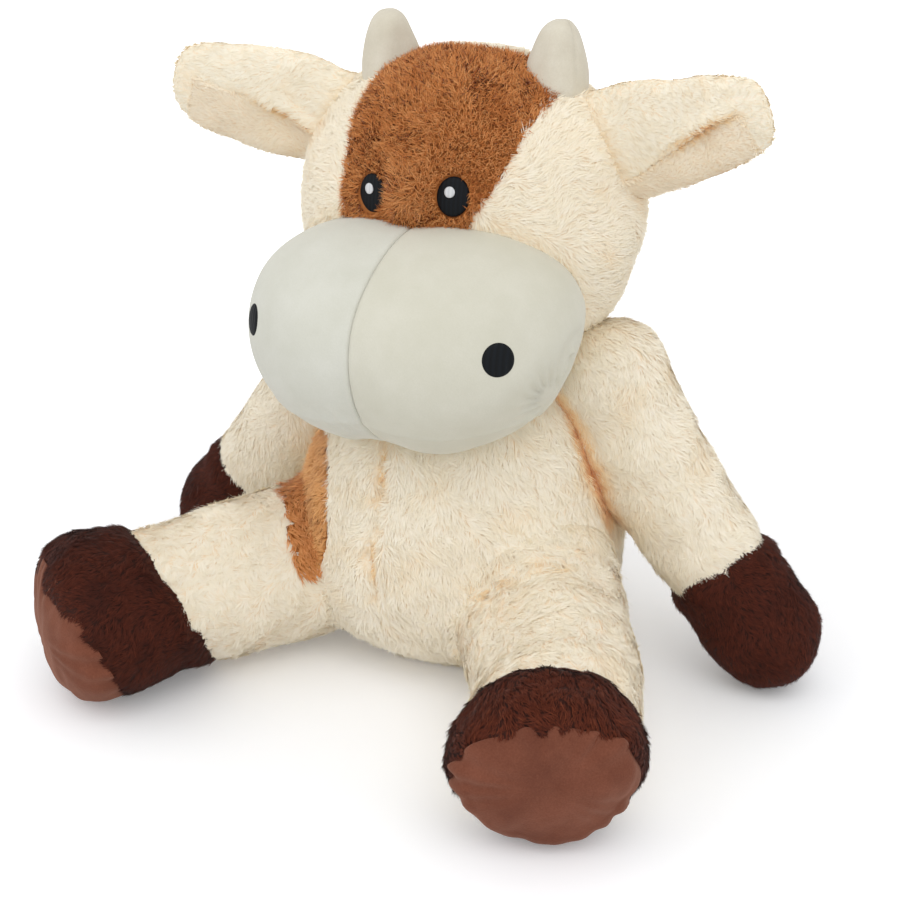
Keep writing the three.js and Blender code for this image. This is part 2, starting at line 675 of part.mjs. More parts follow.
/** The tail: a thin cream tube of pile with a brown tuft. */
function buildTail() {
  const place = placement(tailSwing.pivot, tailHeading, axisY);
  const whole = solid(swelling(tail, tailShares, tail.sides, tail.levels).applyMatrix4(place))
    .subtract(swept(torsoForm(swingClearance), tailSwing))
    .add(ballOf(tailSwing, tail.ball));
  const [stem, tuft] = splitAt(whole, seamOf(tail, tailSwing, tailHeading, tail.tuftShare), tailHeading);
  addPiece(tailBody, "tail_stem", stem, creamPile);
  addPiece(tailBody, "tail_tuft", tuft, brownPile);
}

buildTorso();
buildHead();
buildHorns();
buildEars();
buildArms();
buildLegs();
buildTail();

export default torsoBody;
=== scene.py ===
"""A sitting plush cow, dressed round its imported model: fabric skins over the fill, and the pile that stands on them.

Lengths are in millimetres until a mesh is made. +X is the cow's left, -Y its front and +Z up.
"""
from __future__ import annotations

import json
import logging
import math
from dataclasses import dataclass, field
from enum import Enum
from typing import Callable, Optional

import bmesh
import bpy
import numpy as np
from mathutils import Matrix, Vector
from mathutils.bvhtree import BVHTree

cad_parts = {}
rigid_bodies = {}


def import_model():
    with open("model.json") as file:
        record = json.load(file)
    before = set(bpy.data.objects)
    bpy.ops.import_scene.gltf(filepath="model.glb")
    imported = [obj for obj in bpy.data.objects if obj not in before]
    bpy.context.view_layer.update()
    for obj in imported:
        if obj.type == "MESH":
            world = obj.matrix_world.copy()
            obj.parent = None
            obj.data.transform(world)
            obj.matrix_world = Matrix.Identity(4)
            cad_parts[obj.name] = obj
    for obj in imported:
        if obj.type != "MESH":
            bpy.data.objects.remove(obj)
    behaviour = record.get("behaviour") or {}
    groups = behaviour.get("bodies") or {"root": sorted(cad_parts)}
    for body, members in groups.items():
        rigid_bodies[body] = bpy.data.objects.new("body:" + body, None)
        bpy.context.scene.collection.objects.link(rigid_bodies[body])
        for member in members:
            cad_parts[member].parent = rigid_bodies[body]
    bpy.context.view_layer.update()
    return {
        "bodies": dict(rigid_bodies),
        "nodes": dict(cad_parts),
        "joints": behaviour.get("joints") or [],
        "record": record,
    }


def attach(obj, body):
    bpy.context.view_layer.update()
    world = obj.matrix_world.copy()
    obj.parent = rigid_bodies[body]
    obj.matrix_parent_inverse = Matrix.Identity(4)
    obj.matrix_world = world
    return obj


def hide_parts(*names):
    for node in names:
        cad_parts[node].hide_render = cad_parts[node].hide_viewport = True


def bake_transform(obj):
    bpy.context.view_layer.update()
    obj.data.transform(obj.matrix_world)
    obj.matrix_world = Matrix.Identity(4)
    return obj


LOG = logging.getLogger("plush_cow")
MM = 0.001
FLAT_DEPTH = 0.5  # how far a resting form is pressed flat on the floor
PILE_INSET = 2.4  # from a form's outer face down to the fabric that its pile stands on
FILL_INSET = 12.0  # and down to the fibre, where a new fill stands for the model's
FLOOR_GAP = 0.6  # the least height of a skin over the floor, with as much again for its pile as it lies inset
DEPTH_LEVELS = 240  # how finely a form's outline is looked up
STEPS_TO_JOIN = 7  # how often a skin is moved towards the face that it shares with its neighbour
AXIS_X, AXIS_Y, AXIS_Z = np.eye(3)

Array = np.ndarray
Rows = tuple[tuple[float, ...], ...]
Field = Callable[[Array, Array], Array]
Bend = tuple[str, str, Array, Array]  # two bodies, and the points that a piece would bend between


class Side(Enum):
    """The cow's own left and right."""

    LEFT = "left"
    RIGHT = "right"

    @property
    def sign(self) -> float:
        """1 on the left, where X is positive, and -1 on the right."""
        return 1.0 if self is Side.LEFT else -1.0


EYE_ACROSS = {Side.LEFT: 21.6, Side.RIGHT: -27.6}  # the right eye is sewn on a little further out and lower
EYE_HEIGHT = {Side.LEFT: 289.2, Side.RIGHT: 285.8}
EYE_EDGE = 0.04  # how far past an eye's edge its fur begins, as a share of the eye's size
EYE_LEAN = {Side.LEFT: 7.0, Side.RIGHT: 3.0}  # fur lies over an eye only this far or more to the left of its middle
THIGH_FILLET = {Side.LEFT: 40.0, Side.RIGHT: 12.0}  # how widely each leg runs into the belly
THIGH = {Side.LEFT: np.array([0.9, 0.0, 0.45]), Side.RIGHT: np.array([-0.75, 0.0, 0.65])}  # where each is fuller
THIGH_HEIGHT = 9.0
RUMPLE = (np.array([58.0, -104.0, 80.0]), np.array([94.0, -84.0, 94.0]))  # the rumpled pile over the left leg's root
RUMPLE_WIDTH = 10.0
RUMPLE_SHADE = 0.36
RUFFLE = 1.6  # how much rumpled pile lies across its own fall
CREASE_SHADE_FADE = 0.78  # how much of a crease's painted shade is lost towards the back, so that it lies only at the front of the crease
PICTURE_RIGHT = np.array([0.893, 0.449, 0.0])  # the photograph's axes, for places read off it
PICTURE_UP = np.array([-0.177, 0.352, 0.919])
DOWN_THE_BODY = [0.0, -0.15, -1.0]  # how the body's pile falls
EAR_PIVOT = np.array([79.97, 8, 311.97])
TAIL_PIVOT = np.array([0, 70.0, 56.0])
BODY_MESH = (128, 88)  # faces round and along the body and the head


class Slot(Enum):
    """The record's material slots, one named with each new piece."""

    CREAM = "cream_pile"
    TAN = "tan_pile"
    BROWN = "brown_pile"
    SOLE = "brown_nap"
    PALE = "pale_nap"
    LINING = "lining_nap"
    FIBRE = "fibre_fill"
    DARK_THREAD = "dark_thread"
    PALE_THREAD = "pale_thread"


# Small helpers


def unit(vectors: Array) -> Array:
    """Vectors at length 1."""
    return vectors / np.maximum(np.linalg.norm(vectors, axis=-1, keepdims=True), 1e-9)


def dots(a: Array, b: Array) -> Array:
    """The dot product of each pair of vectors, as a column."""
    return np.sum(a * b, -1, keepdims=True)


def everywhere(vector: Array, points: Array) -> Array:
    """The same vector for every point."""
    return np.tile(vector, (len(points), 1))


def smooth(values: Array, low: float, high: float) -> Array:
    """A soft step from 0 at low to 1 at high."""
    share = np.clip((values - low) / (high - low), 0.0, 1.0)
    return share * share * (3.0 - 2.0 * share)


def aim(out: float, rise: float) -> Array:
    """A heading from its degrees outward from the front and up from the floor."""
    a, e = math.radians(out), math.radians(rise)
    return np.array([math.sin(a) * math.cos(e), -math.cos(a) * math.cos(e), math.sin(e)])


def turned(vectors: Array, axis: Array, angle: Array) -> Array:
    """Vectors turned about unit axes by angles in radians."""
    cosine, sine = np.cos(angle)[..., None], np.sin(angle)[..., None]
    along = dots(vectors, axis) * axis
    return vectors * cosine + np.cross(axis, vectors) * sine + along * (1.0 - cosine)


def waves(points: Array, size: float, seed: int) -> Array:
    """Smooth noise between about -1 and 1 whose swells are about size millimetres wide."""
    rng = np.random.default_rng(seed)
    total = np.zeros(len(points))
    for _ in range(6):
        direction = unit(rng.normal(size=3)) * (2 * math.pi / size) * rng.uniform(0.6, 1.5)
        total += np.sin(points @ direction + rng.uniform(0, 2 * math.pi))
    return total / 2.6


def by_side(points: Array, values: dict[Side, float]) -> Array:
    """The value of the side that each point lies on."""
    return np.where(points[:, 0] > 0, values[Side.LEFT], values[Side.RIGHT])


def ruffle(points: Array) -> Array:
    """Directions that wander every few millimetres, as rumpled pile lies."""
    return RUFFLE * np.stack([waves(points, 9.0, seed) for seed in (91, 92, 93)], -1)


def front_crease_shade(points: Array) -> Array:
    """How much of a crease's painted shade shows at points: all of it in front, little towards the back."""
    return 1 - CREASE_SHADE_FADE * smooth(points[:, 1], -22, 4)


def tufts(points: Array, size: float, seed: int) -> tuple[Array, Array]:
    """The nearest tuft centre of each point, and a random number between 0 and 1 for each tuft.

    Args:
        points: Where the strands stand.
        size: The space between tufts.
        seed: The seed of the tufts' places.

    Returns:
        The centres and the tufts' numbers.
    """
    cell = np.floor(points / size)
    nearest = np.full(len(points), 1e9)
    centre, number = np.zeros_like(points), np.zeros(len(points))
    mixers = np.array([[127.1, 311.7, 74.7], [269.5, 183.3, 246.1], [113.5, 271.9, 124.6]])
    for offset in np.ndindex(3, 3, 3):
        corner = cell + np.array(offset) - 1
        random = np.sin(corner @ mixers.T + seed) * 43758.5453
        random -= np.floor(random)
        place = (corner + random) * size
        gap = np.sum((place - points) ** 2, -1)
        closer = gap < nearest
        nearest[closer], centre[closer], number[closer] = gap[closer], place[closer], random[closer, 0]
    return centre, number


# Forms


@dataclass(frozen=True, eq=False)
class Form:
    """A stuffed form along its own axis. Its share rows hold [along, side, front, back]."""

    rows: Rows
    length: float
    side: float
    front: float
    back: float
    root: float = 0.0
    basis: Array = field(default_factory=lambda: np.eye(3))
    origin: Array = field(default_factory=lambda: np.zeros(3))
    mirror: bool = False

    def shares(self, level: Array) -> Array:
        """The share row at each level from 0 to 1, on a smooth curve through the rows."""
        table = np.array(self.rows)
        table = np.vstack([2 * table[0] - table[1], table, 2 * table[-1] - table[-2]])
        place = np.clip(level, 0, 1) * (len(self.rows) - 1)
        index = np.minimum(place.astype(int), len(self.rows) - 2)
        t = (place - index)[:, None]
        a, b, c, d = (table[index + k] for k in range(4))
        bend = (2 * a - 5 * b + 4 * c - d) * t**2 + (3 * b - a - 3 * c + d) * t**3
        return 0.5 * (2 * b + (c - a) * t + bend)

    def to_frame(self, local: Array) -> Array:
        """Points of the form's own axes in the cow's frame."""
        points = local @ self.basis.T + self.origin
        return points * [-1, 1, 1] if self.mirror else points

    def to_local(self, points: Array) -> Array:
        """Points of the cow's frame in the form's own axes."""
        points = points * [-1, 1, 1] if self.mirror else points
        return (points - self.origin) @ self.basis

    def turn(self, local: Array) -> Array:
        """Directions of the form's own axes in the cow's frame."""
        return local @ self.basis.T * ([-1, 1, 1] if self.mirror else [1, 1, 1])

    def heading(self) -> Array:
        """The direction that the form runs in."""
        return self.turn(AXIS_Z)

    def local_at(self, level: Array, angle: Array) -> Array:
        """The form's outer face at a level and an angle, in its own axes."""
        z, x, front, back = self.shares(level).T
        deep = np.where(np.sin(angle) < 0, front * self.front, back * self.back)
        return np.stack(
            [x * self.side * np.cos(angle), deep * np.sin(angle), self.root + z * self.length], -1
        )

    def share_along(self, points: Array) -> Array:
        """How far along the form points lie, as a share of its length."""
        return (self.to_local(points)[:, 2] - self.root) / self.length

    def depth(self, points: Array) -> Array:
        """How deep points lie inside the form, roughly, in millimetres. It is negative outside."""
        local = self.to_local(points)
        levels = np.linspace(0, 1, DEPTH_LEVELS)
        curve = self.shares(levels)
        share = self.share_along(points)
        row = self.shares(np.interp(share, np.maximum.accumulate(curve[:, 0]), levels))
        side = np.maximum(row[:, 1] * self.side, 0.5)
        deep = np.maximum(np.where(local[:, 1] < 0, row[:, 2] * self.front, row[:, 3] * self.back), 0.5)
        reach = np.hypot(local[:, 0] / side, local[:, 1] / deep)
        walls = (1 - reach) * np.minimum(side, deep)
        ends = np.minimum(share, 1 - share) * self.length
        return np.where(ends < 0, np.minimum(walls, ends), walls)


def share_rows(*short: tuple[float, ...]) -> Rows:
    """Whole share rows from short ones, whose last number stands for the missing ones."""
    return tuple((*row, *(row[-1],) * (4 - len(row))) for row in short)


def placed(pivot: Array, heading: Array, backwards: Array) -> dict[str, Array]:
    """The basis and origin of a form that leaves a pivot, with its back to a direction."""
    across = unit(np.cross(backwards, heading))
    return {"basis": np.stack([across, np.cross(heading, across), heading], -1), "origin": pivot}


def resting(form: Form, sides: int, levels: int) -> Form:
    """The form let down until its lowest corner, at the model's facets, presses on the floor."""
    level, angle = np.meshgrid(np.arange(levels + 1) / levels, 2 * math.pi * np.arange(sides) / sides)
    low = form.to_frame(form.local_at(level.ravel(), angle.ravel()))[:, 2].min()
    drop = np.array([0, 0, -FLAT_DEPTH - low])
    return Form(**{**form.__dict__, "origin": form.origin + drop})


# Meshes


def vectors_of(items: bpy.types.bpy_prop_collection, key: str) -> Array:
    """One vector property of each item of a mesh."""
    values = np.empty(len(items) * 3, np.float32)
    items.foreach_get(key, values)
    return values.reshape(-1, 3).astype(float)


def coordinates(obj: bpy.types.Object) -> Array:
    """The mesh's points in millimetres."""
    return vectors_of(obj.data.vertices, "co") / MM


def normals_of(obj: bpy.types.Object) -> Array:
    """The mesh's normals at its points."""
    return vectors_of(obj.data.vertex_normals, "vector")


def face_centres(obj: bpy.types.Object) -> Array:
    """The middles of the mesh's faces in millimetres."""
    return vectors_of(obj.data.polygons, "center") / MM


def set_coordinates(obj: bpy.types.Object, points: Array) -> None:
    """Moves the mesh's points to places in millimetres."""
    obj.data.vertices.foreach_set("co", (points * MM).astype(np.float32).ravel())
    obj.data.update()


def active(obj: bpy.types.Object) -> None:
    """Selects one object alone and makes it active."""
    bpy.ops.object.select_all(action="DESELECT")
    obj.select_set(True)
    bpy.context.view_layer.objects.active = obj


def in_order(mesh: bpy.types.Mesh) -> None:
    """Puts a new mesh's edges and faces in one order, which Blender gives differently each run."""
    work = bmesh.new()
    work.from_mesh(mesh)
    count = len(work.verts)
    work.edges.sort(key=lambda edge: min(v.index for v in edge.verts) * count + max(v.index for v in edge.verts))
    work.faces.sort(key=lambda face: face.verts[0].index * count + face.verts[1].index)
    work.to_mesh(mesh)
    work.free()


def stuffed(
    name: str, form: Form, segments: int, rings: int, inset: float, sculpt: Optional[Field] = None
) -> bpy.types.Object:
    """A closed skin in the shape of a form.

    Args:
        name: The piece's name.
        form: The form that it fills.
        segments: Faces round it.
        rings: Faces along it.
        inset: How far the skin lies inside the form's outer face.
        sculpt: Gives, from points and normals, how far each point moves out.

    Returns:
        The skin.
    """
    bpy.ops.object.select_all(action="DESELECT")
    bpy.ops.mesh.primitive_uv_sphere_add(segments=segments, ring_count=rings, radius=1.0)
    skin = bpy.context.active_object
    skin.name = skin.data.name = name
    in_order(skin.data)
    ball = coordinates(skin) * MM
    level = np.arccos(np.clip(-ball[:, 2], -1, 1)) / math.pi
    set_coordinates(skin, form.to_frame(form.local_at(level, np.arctan2(ball[:, 1], ball[:, 0]))))
    if form.mirror:
        skin.data.flip_normals()
    skin.data.shade_smooth()
    skin.data.update()
    points, normals = coordinates(skin), normals_of(skin)
    points = points - normals * inset
    if sculpt is not None:
        points = points + normals * sculpt(points, normals)[:, None]
    points[:, 2] = np.maximum(points[:, 2], FLOOR_GAP + 0.9 * inset)
    set_coordinates(skin, points)
    return skin


def thicken(obj: bpy.types.Object, thickness: float) -> None:
    """Gives a sheet a thickness in millimetres, behind its face."""
    active(obj)
    wall = obj.modifiers.new("sheet", "SOLIDIFY")
    wall.thickness, wall.offset = thickness * MM, -1.0
    bpy.ops.object.modifier_apply(modifier=wall.name)


def surface_of(obj: bpy.types.Object) -> BVHTree:
    """The mesh as a tree for rays, in metres."""
    return BVHTree.FromObject(obj, bpy.context.evaluated_depsgraph_get())


def cut_at(obj: bpy.types.Object, point: Array, direction: Array) -> None:
    """Cuts away what lies behind a plane and closes the mesh there."""
    active(obj)
    bpy.ops.object.mode_set(mode="EDIT")
    bpy.ops.mesh.select_all(action="SELECT")
    bpy.ops.mesh.bisect(
        plane_co=Vector(point) * MM, plane_no=Vector(direction), use_fill=True, clear_inner=True
    )
    bpy.ops.object.mode_set(mode="OBJECT")


class Panels:
    """Tells which of a body's CAD panels a point of its skin belongs to."""

    def __init__(self, frame: dict, nodes: list[str]) -> None:
        """Gathers the panels' faces.

        Args:
            nodes: The panels' node names.
        """
        self.nodes = nodes
        self.owner: list[int] = []
        corners: list[Vector] = []
        faces: list[tuple[int, ...]] = []
        for index, node in enumerate(nodes):
            mesh = frame["nodes"][node].data
            start = len(corners)
            corners.extend(v.co / MM for v in mesh.vertices)
            faces.extend(tuple(start + v for v in p.vertices) for p in mesh.polygons)
            self.owner.extend([index] * len(mesh.polygons))
        self.tree = BVHTree.FromPolygons(corners, faces)

    def of(self, points: Array) -> Array:
        """The index of each point's nearest panel."""
        return np.array([self.owner[self.tree.find_nearest(p)[2]] for p in points.tolist()], int)


@dataclass(frozen=True)
class Coat:
    """How a pile fabric's strands stand."""

    per_cm2: float = 125.0
    length: float = 8.5
    width: float = 0.75
    lean: float = 72.0  # degrees from the skin's normal at the root
    fall: float = 88.0  # and at the tip
    knee: float = 0.25  # the share of a lock's length where it bends over
    lift: float = 3.0  # how far those differ from one lock to the next, in degrees
    twist: float = 6.0  # how far a lock turns about its own length, in degrees
    tuft: float = 3.8
    gather: float = 0.6
    stray: float = 16.0  # degrees
    swirl: float = 34.0  # degrees
    loose: float = 0.05  # the share of fine strands that stand away from the rest
    relief: float = 0.12  # how round each tuft is lit
    own: float = 0.3  # how much a strand is lit by its own turn, from 0, by the skin's
    tone: float = 0.72  # from 0, the deepest colour, to 1, the palest
    streaks: float = 0.03  # how much one lock's tone differs from the next
    blotch: float = 0.1  # how much deeper the scattered worn patches are


@dataclass
class Roots:
    """Where the strands of a skin stand."""

    points: Array
    normals: Array

    @classmethod
    def on(cls, skin: bpy.types.Object, per_cm2: float, seed: int) -> "Roots":
        """Scatters roots over a skin, evenly by area."""
        mesh = skin.data
        mesh.calc_loop_triangles()
        corners = np.empty(len(mesh.loop_triangles) * 3, int)
        mesh.loop_triangles.foreach_get("vertices", corners)
        corners = corners.reshape(-1, 3)
        points, normals = coordinates(skin), normals_of(skin)
        a, b, c = (points[corners[:, k]] for k in range(3))
        area = np.linalg.norm(np.cross(b - a, c - a), axis=1) / 2
        rng = np.random.default_rng(seed)
        count = int(area.sum() / 100 * per_cm2)
        chosen = rng.choice(len(area), count, p=area / area.sum())
        u, v = rng.random(count), rng.random(count)
        over = u + v > 1
        u[over], v[over] = 1 - u[over], 1 - v[over]
        weights = np.stack([1 - u - v, u, v], -1)[:, :, None]
        return cls(
            np.sum(points[corners[chosen]] * weights, 1), unit(np.sum(normals[corners[chosen]] * weights, 1))
        )

    def where(self, keep: Array) -> "Roots":
        """The roots that a mask keeps."""
        return Roots(self.points[keep], self.normals[keep])


def thinned(rng: np.random.Generator, mask: Array, coat: Coat, densest: Coat) -> Array:
    """A mask of roots that were scattered for the densest coat, thinned out to another coat's count."""
    return mask & (rng.random(len(mask)) < coat.per_cm2 / densest.per_cm2)


@dataclass
class Strands:
    """Blades of pile: where each one's root, middle and tip are, and how it is shaded."""

    name: str
    roots: Roots
    coat: Coat
    comb: Array
    seed: int
    growth: Optional[Array] = None
    shade: Optional[Array] = None
    bare: Optional[Callable[[Array], Array]] = None  # tells where no strand may end
    floor: float = 0.35

    def build(self) -> bpy.types.Object:
        """Makes the blades' mesh.

        Returns:
            The pile, with each blade's tone along U and its root to tip along V of its map.
        """
        coat, points, normals = self.coat, self.roots.points, self.roots.normals
        count = len(points)
        rng = np.random.default_rng(self.seed)
        centre, number = tufts(points, coat.tuft, self.seed)
        comb = unit(self.comb - dots(self.comb, normals) * normals)
        # Locks swirl, strands stray, and no two are of one length.
        swirl = np.radians(coat.swirl) * (
            waves(points, 38.0, self.seed + 1) + 0.6 * waves(points, 11.0, self.seed + 2) + 1.2 * (number - 0.5)
        )
        comb = turned(comb, normals, swirl + np.radians(coat.stray) * rng.normal(size=count))
        length = coat.length * rng.uniform(0.72, 1.12, count) * (0.86 + 0.28 * number)
        if self.growth is not None:
            length *= self.growth
        # A few loose strands stand away. The rest lie over at their knees and gather into tufts.
        loose = rng.random(count) < coat.loose
        lift = coat.lift * (rng.normal(size=count) + 1.6 * (number - 0.5)) + 22.0 * loose * rng.random(count)
        lean, fall = np.radians(coat.lean - lift), np.radians(coat.fall - lift)
        low = normals * np.cos(lean)[:, None] + comb * np.sin(lean)[:, None]
        high = normals * np.cos(fall)[:, None] + comb * np.sin(fall)[:, None]
        inward = centre - points
        inward -= dots(inward, normals) * normals
        gather = (coat.gather * np.where(loose, 0.3, 1.0))[:, None]
        middle = points + low * (coat.knee * length)[:, None] + inward * (0.4 * gather)
        tip = middle + high * ((1 - coat.knee) * length)[:, None] + inward * (0.6 * gather)
        tip += rng.normal(0, 0.25, (count, 3))
        # None goes through the floor.
        for place in (middle, tip):
            sunk = place[:, 2] < self.floor
            place[sunk, 2] = self.floor + 0.4 * rng.random(sunk.sum())
        # Each blade is flat, with its face turned outwards.
        axis = unit(tip - points)
        side = turned(unit(np.cross(axis, normals)), axis, np.radians(coat.twist) * rng.normal(size=count))
        facing = np.cross(side, axis)
        side = np.where(dots(facing, normals) < 0, -side, side)
        facing = np.cross(side, axis)
        half = coat.width / 2 * (rng.uniform(0.8, 1.2, count) * np.where(loose, 0.5, 1.0))[:, None]
        corners = np.stack(
            [points - side * half, points + side * half, middle - side * half * 0.9,
             middle + side * half * 0.9, tip], 1
        )
        # It is lit mostly as the skin under it is, and each tuft a little as if it were round.
        bump = -inward / coat.tuft
        soft = unit(normals * (1 - coat.own) + facing * coat.own + bump * coat.relief)
        tone = coat.tone + rng.normal(0, coat.streaks, count) + 0.05 * (number - 0.5)
        tone -= coat.blotch * smooth(waves(points, 34.0, self.seed + 5), 0.1, 1.5)
        if self.shade is not None:
            tone += self.shade
        kept = np.ones(count, bool) if self.bare is None else ~(self.bare(middle) | self.bare(tip))
        return self.mesh(corners[kept], np.repeat(soft[kept, None], 5, 1), np.clip(tone[kept], 0.03, 0.96))

    def mesh(self, corners: Array, normals: Array, tone: Array) -> bpy.types.Object:
        """Makes a mesh of blades, each a quad with a pointed end."""
        count = len(corners)
        mesh = bpy.data.meshes.new(self.name)
        mesh.vertices.add(count * 5)
        mesh.vertices.foreach_set("co", (corners * MM).astype(np.float32).ravel())
        pattern = np.array([0, 1, 3, 2, 2, 3, 4])
        mesh.loops.add(count * 7)
        mesh.loops.foreach_set("vertex_index", (np.arange(count)[:, None] * 5 + pattern).astype(np.int32).ravel())
        mesh.polygons.add(count * 2)
        starts = (np.arange(count)[:, None] * 7 + np.array([0, 4])).astype(np.int32).ravel()
        mesh.polygons.foreach_set("loop_start", starts)
        mesh.update(calc_edges=True)
        across = np.array([-1, 1, 1, -1, -1, 1, 0]) * 0.012
        up = np.array([0, 0, 0.5, 0.5, 0.5, 0.5, 1.0])
        uv = np.stack([tone[:, None] + across, np.broadcast_to(up, (count, 7))], -1)
        mesh.uv_layers.new(name="OFBake").data.foreach_set("uv", uv.astype(np.float32).ravel())
        mesh.normals_split_custom_set_from_vertices(normals.reshape(-1, 3))
        pile = bpy.data.objects.new(self.name, mesh)
        bpy.context.scene.collection.objects.link(pile)
        return pile


# Finishes


def linear(code: str) -> tuple[float, float, float, float]:
    """A colour written as sRGB hex, as the shader's linear values."""
    values = (int(code[i : i + 2], 16) / 255 for i in (1, 3, 5))
    red, green, blue = (v / 12.92 if v <= 0.04045 else ((v + 0.055) / 1.055) ** 2.4 for v in values)
    return red, green, blue, 1.0


def node(
    tree: bpy.types.NodeTree, kind: str, settings: Optional[dict] = None, *inputs: object, **links: object
) -> bpy.types.Node:
    """Adds a node to a tree.

    Args:
        tree: The material's node tree.
        kind: The node's type.
        settings: Its own properties.
        *inputs: Its first inputs in order, each a value or another node's output.
        **links: Its inputs by name, with _ for a space.

    Returns:
        The node.
    """
    made = tree.nodes.new(kind)
    for key, value in (settings or {}).items():
        setattr(made, key, value)
    named = [(next(s for s in made.inputs if s.name == key.replace("_", " ") and s.enabled), value)
             for key, value in links.items()]
    for socket, value in [*zip(made.inputs, inputs), *named]:
        if isinstance(value, bpy.types.NodeSocket):
            tree.links.new(value, socket)
        else:
            socket.default_value = value
    return made


def blank(name: str) -> tuple[bpy.types.Material, bpy.types.NodeTree]:
    """A new material with an empty node tree."""
    made = bpy.data.materials.new(name)
    made.use_nodes = True
    made.node_tree.nodes.clear()
    return made, made.node_tree


def ramp(tree: bpy.types.NodeTree, factor: bpy.types.NodeSocket, colours: tuple[str, ...]) -> bpy.types.NodeSocket:
    """Evenly spaced colours along a factor."""
    made = node(tree, "ShaderNodeValToRGB", Fac=factor)
    stops = made.color_ramp.elements
    while len(stops) < len(colours):
        stops.new(0.5)
    for index, colour in enumerate(colours):
        stops[index].position = index / (len(colours) - 1)
        stops[index].color = linear(colour)
    return made.outputs["Color"]


def surface(tree: bpy.types.NodeTree, **inputs: object) -> None:
    """Ends a tree in a Principled shader with these inputs."""
    shader = node(tree, "ShaderNodeBsdfPrincipled", **inputs)
    node(tree, "ShaderNodeOutputMaterial", Surface=shader.outputs["BSDF"])


@dataclass(frozen=True)
class PileFinish:
    """Acrylic long pile: each strand is deeper at its root and paler at its tip, and no two are quite alike."""

    name: str
    slot: Slot
    roots: tuple[str, ...]
    tips: tuple[str, ...]
    streak: float = 0.1  # how much the fibres of one lock differ
    sheen: float = 0.2

    def make(self) -> bpy.types.Material:
        """The strands' material, which depends on their map alone."""
        made, tree = blank(self.name)
        blade = node(tree, "ShaderNodeUVMap", {"uv_map": "OFBake"})
        parts = node(tree, "ShaderNodeSeparateXYZ", Vector=blade.outputs["UV"])
        fibres = node(tree, "ShaderNodeTexNoise", {"noise_dimensions": "1D"}, W=parts.outputs["X"], Scale=170.0,
                      Detail=1.0)
        streak = node(tree, "ShaderNodeMapRange", Value=fibres.outputs["Fac"], From_Min=0.25, From_Max=0.75,
                      To_Min=-self.streak, To_Max=self.streak)
        tone = node(tree, "ShaderNodeMath", {"operation": "ADD"}, parts.outputs["X"], streak.outputs["Result"])
        low = ramp(tree, tone.outputs["Value"], self.roots)
        high = ramp(tree, tone.outputs["Value"], self.tips)
        rise = node(tree, "ShaderNodeMapRange", {"interpolation_type": "SMOOTHSTEP"}, Value=parts.outputs["Y"],
                    From_Max=0.85)
        mix = node(tree, "ShaderNodeMix", {"data_type": "RGBA"}, Factor=rise.outputs["Result"], A=low, B=high)
        surface(tree, Base_Color=mix.outputs["Result"], Roughness=0.85, Specular_IOR_Level=0.25,
                Sheen_Weight=self.sheen, Sheen_Roughness=0.4)
        return made


@dataclass(frozen=True)
class NapFinish:
    """Velboa: short brushed nap on a knit, matt with a soft bloom at grazing angles and faint brush marks."""

    name: str
    colours: tuple[str, str, str]
    brush_mm: float = 26.0  # the width of a brushed patch
    grain_mm: float = 0.9  # the nap's grain, drawn about twice as coarse as it is so that it shows
    bump: float = 0.12
    sheen: float = 0.35
    tint: str = "#FFFFFF"

    def make(self) -> bpy.types.Material:
        """The nap's material on object coordinates."""
        made, tree = blank(self.name)
        place = node(tree, "ShaderNodeTexCoord").outputs["Object"]
        brush = node(tree, "ShaderNodeTexNoise", Vector=place, Scale=1000 / self.brush_mm, Detail=4.0, Roughness=0.6)
        grain = node(tree, "ShaderNodeTexNoise", Vector=place, Scale=1000 / self.grain_mm, Detail=2.0)
        both = node(tree, "ShaderNodeMath", {"operation": "MULTIPLY_ADD"}, grain.outputs["Fac"], 0.45,
                    brush.outputs["Fac"])
        spread = node(tree, "ShaderNodeMapRange", Value=both.outputs["Value"], From_Min=0.5, From_Max=0.95)
        height = node(tree, "ShaderNodeBump", Strength=self.bump, Distance=0.0006, Height=grain.outputs["Fac"])
        surface(tree, Base_Color=ramp(tree, spread.outputs["Result"], self.colours), Roughness=0.88,
                Specular_IOR_Level=0.2, Sheen_Weight=self.sheen, Sheen_Roughness=0.5, Sheen_Tint=linear(self.tint),
                Normal=height.outputs["Normal"])
        return made


@dataclass(frozen=True)
class ThreadFinish:
    """Rayon satin stitch: close parallel threads with a soft gloss along them."""

    name: str
    low: str
    high: str
    thread_mm: float = 0.5  # a real thread is about 0.4, drawn coarser so that it shows

    def make(self) -> bpy.types.Material:
        """The stitches' material on object coordinates, with upright threads."""
        made, tree = blank(self.name)
        place = node(tree, "ShaderNodeTexCoord").outputs["Object"]
        rows = node(tree, "ShaderNodeTexWave", {"bands_direction": "X", "wave_profile": "SIN"}, Vector=place,
                    Scale=1000 / self.thread_mm / 20, Distortion=0.6, Detail=1.0, Detail_Scale=2.0)
        height = node(tree, "ShaderNodeBump", Strength=0.5, Distance=0.0003, Height=rows.outputs["Fac"])
        surface(tree, Base_Color=ramp(tree, rows.outputs["Fac"], (self.low, self.high)), Roughness=0.62,
                Specular_IOR_Level=0.2, Normal=height.outputs["Normal"])
        return made
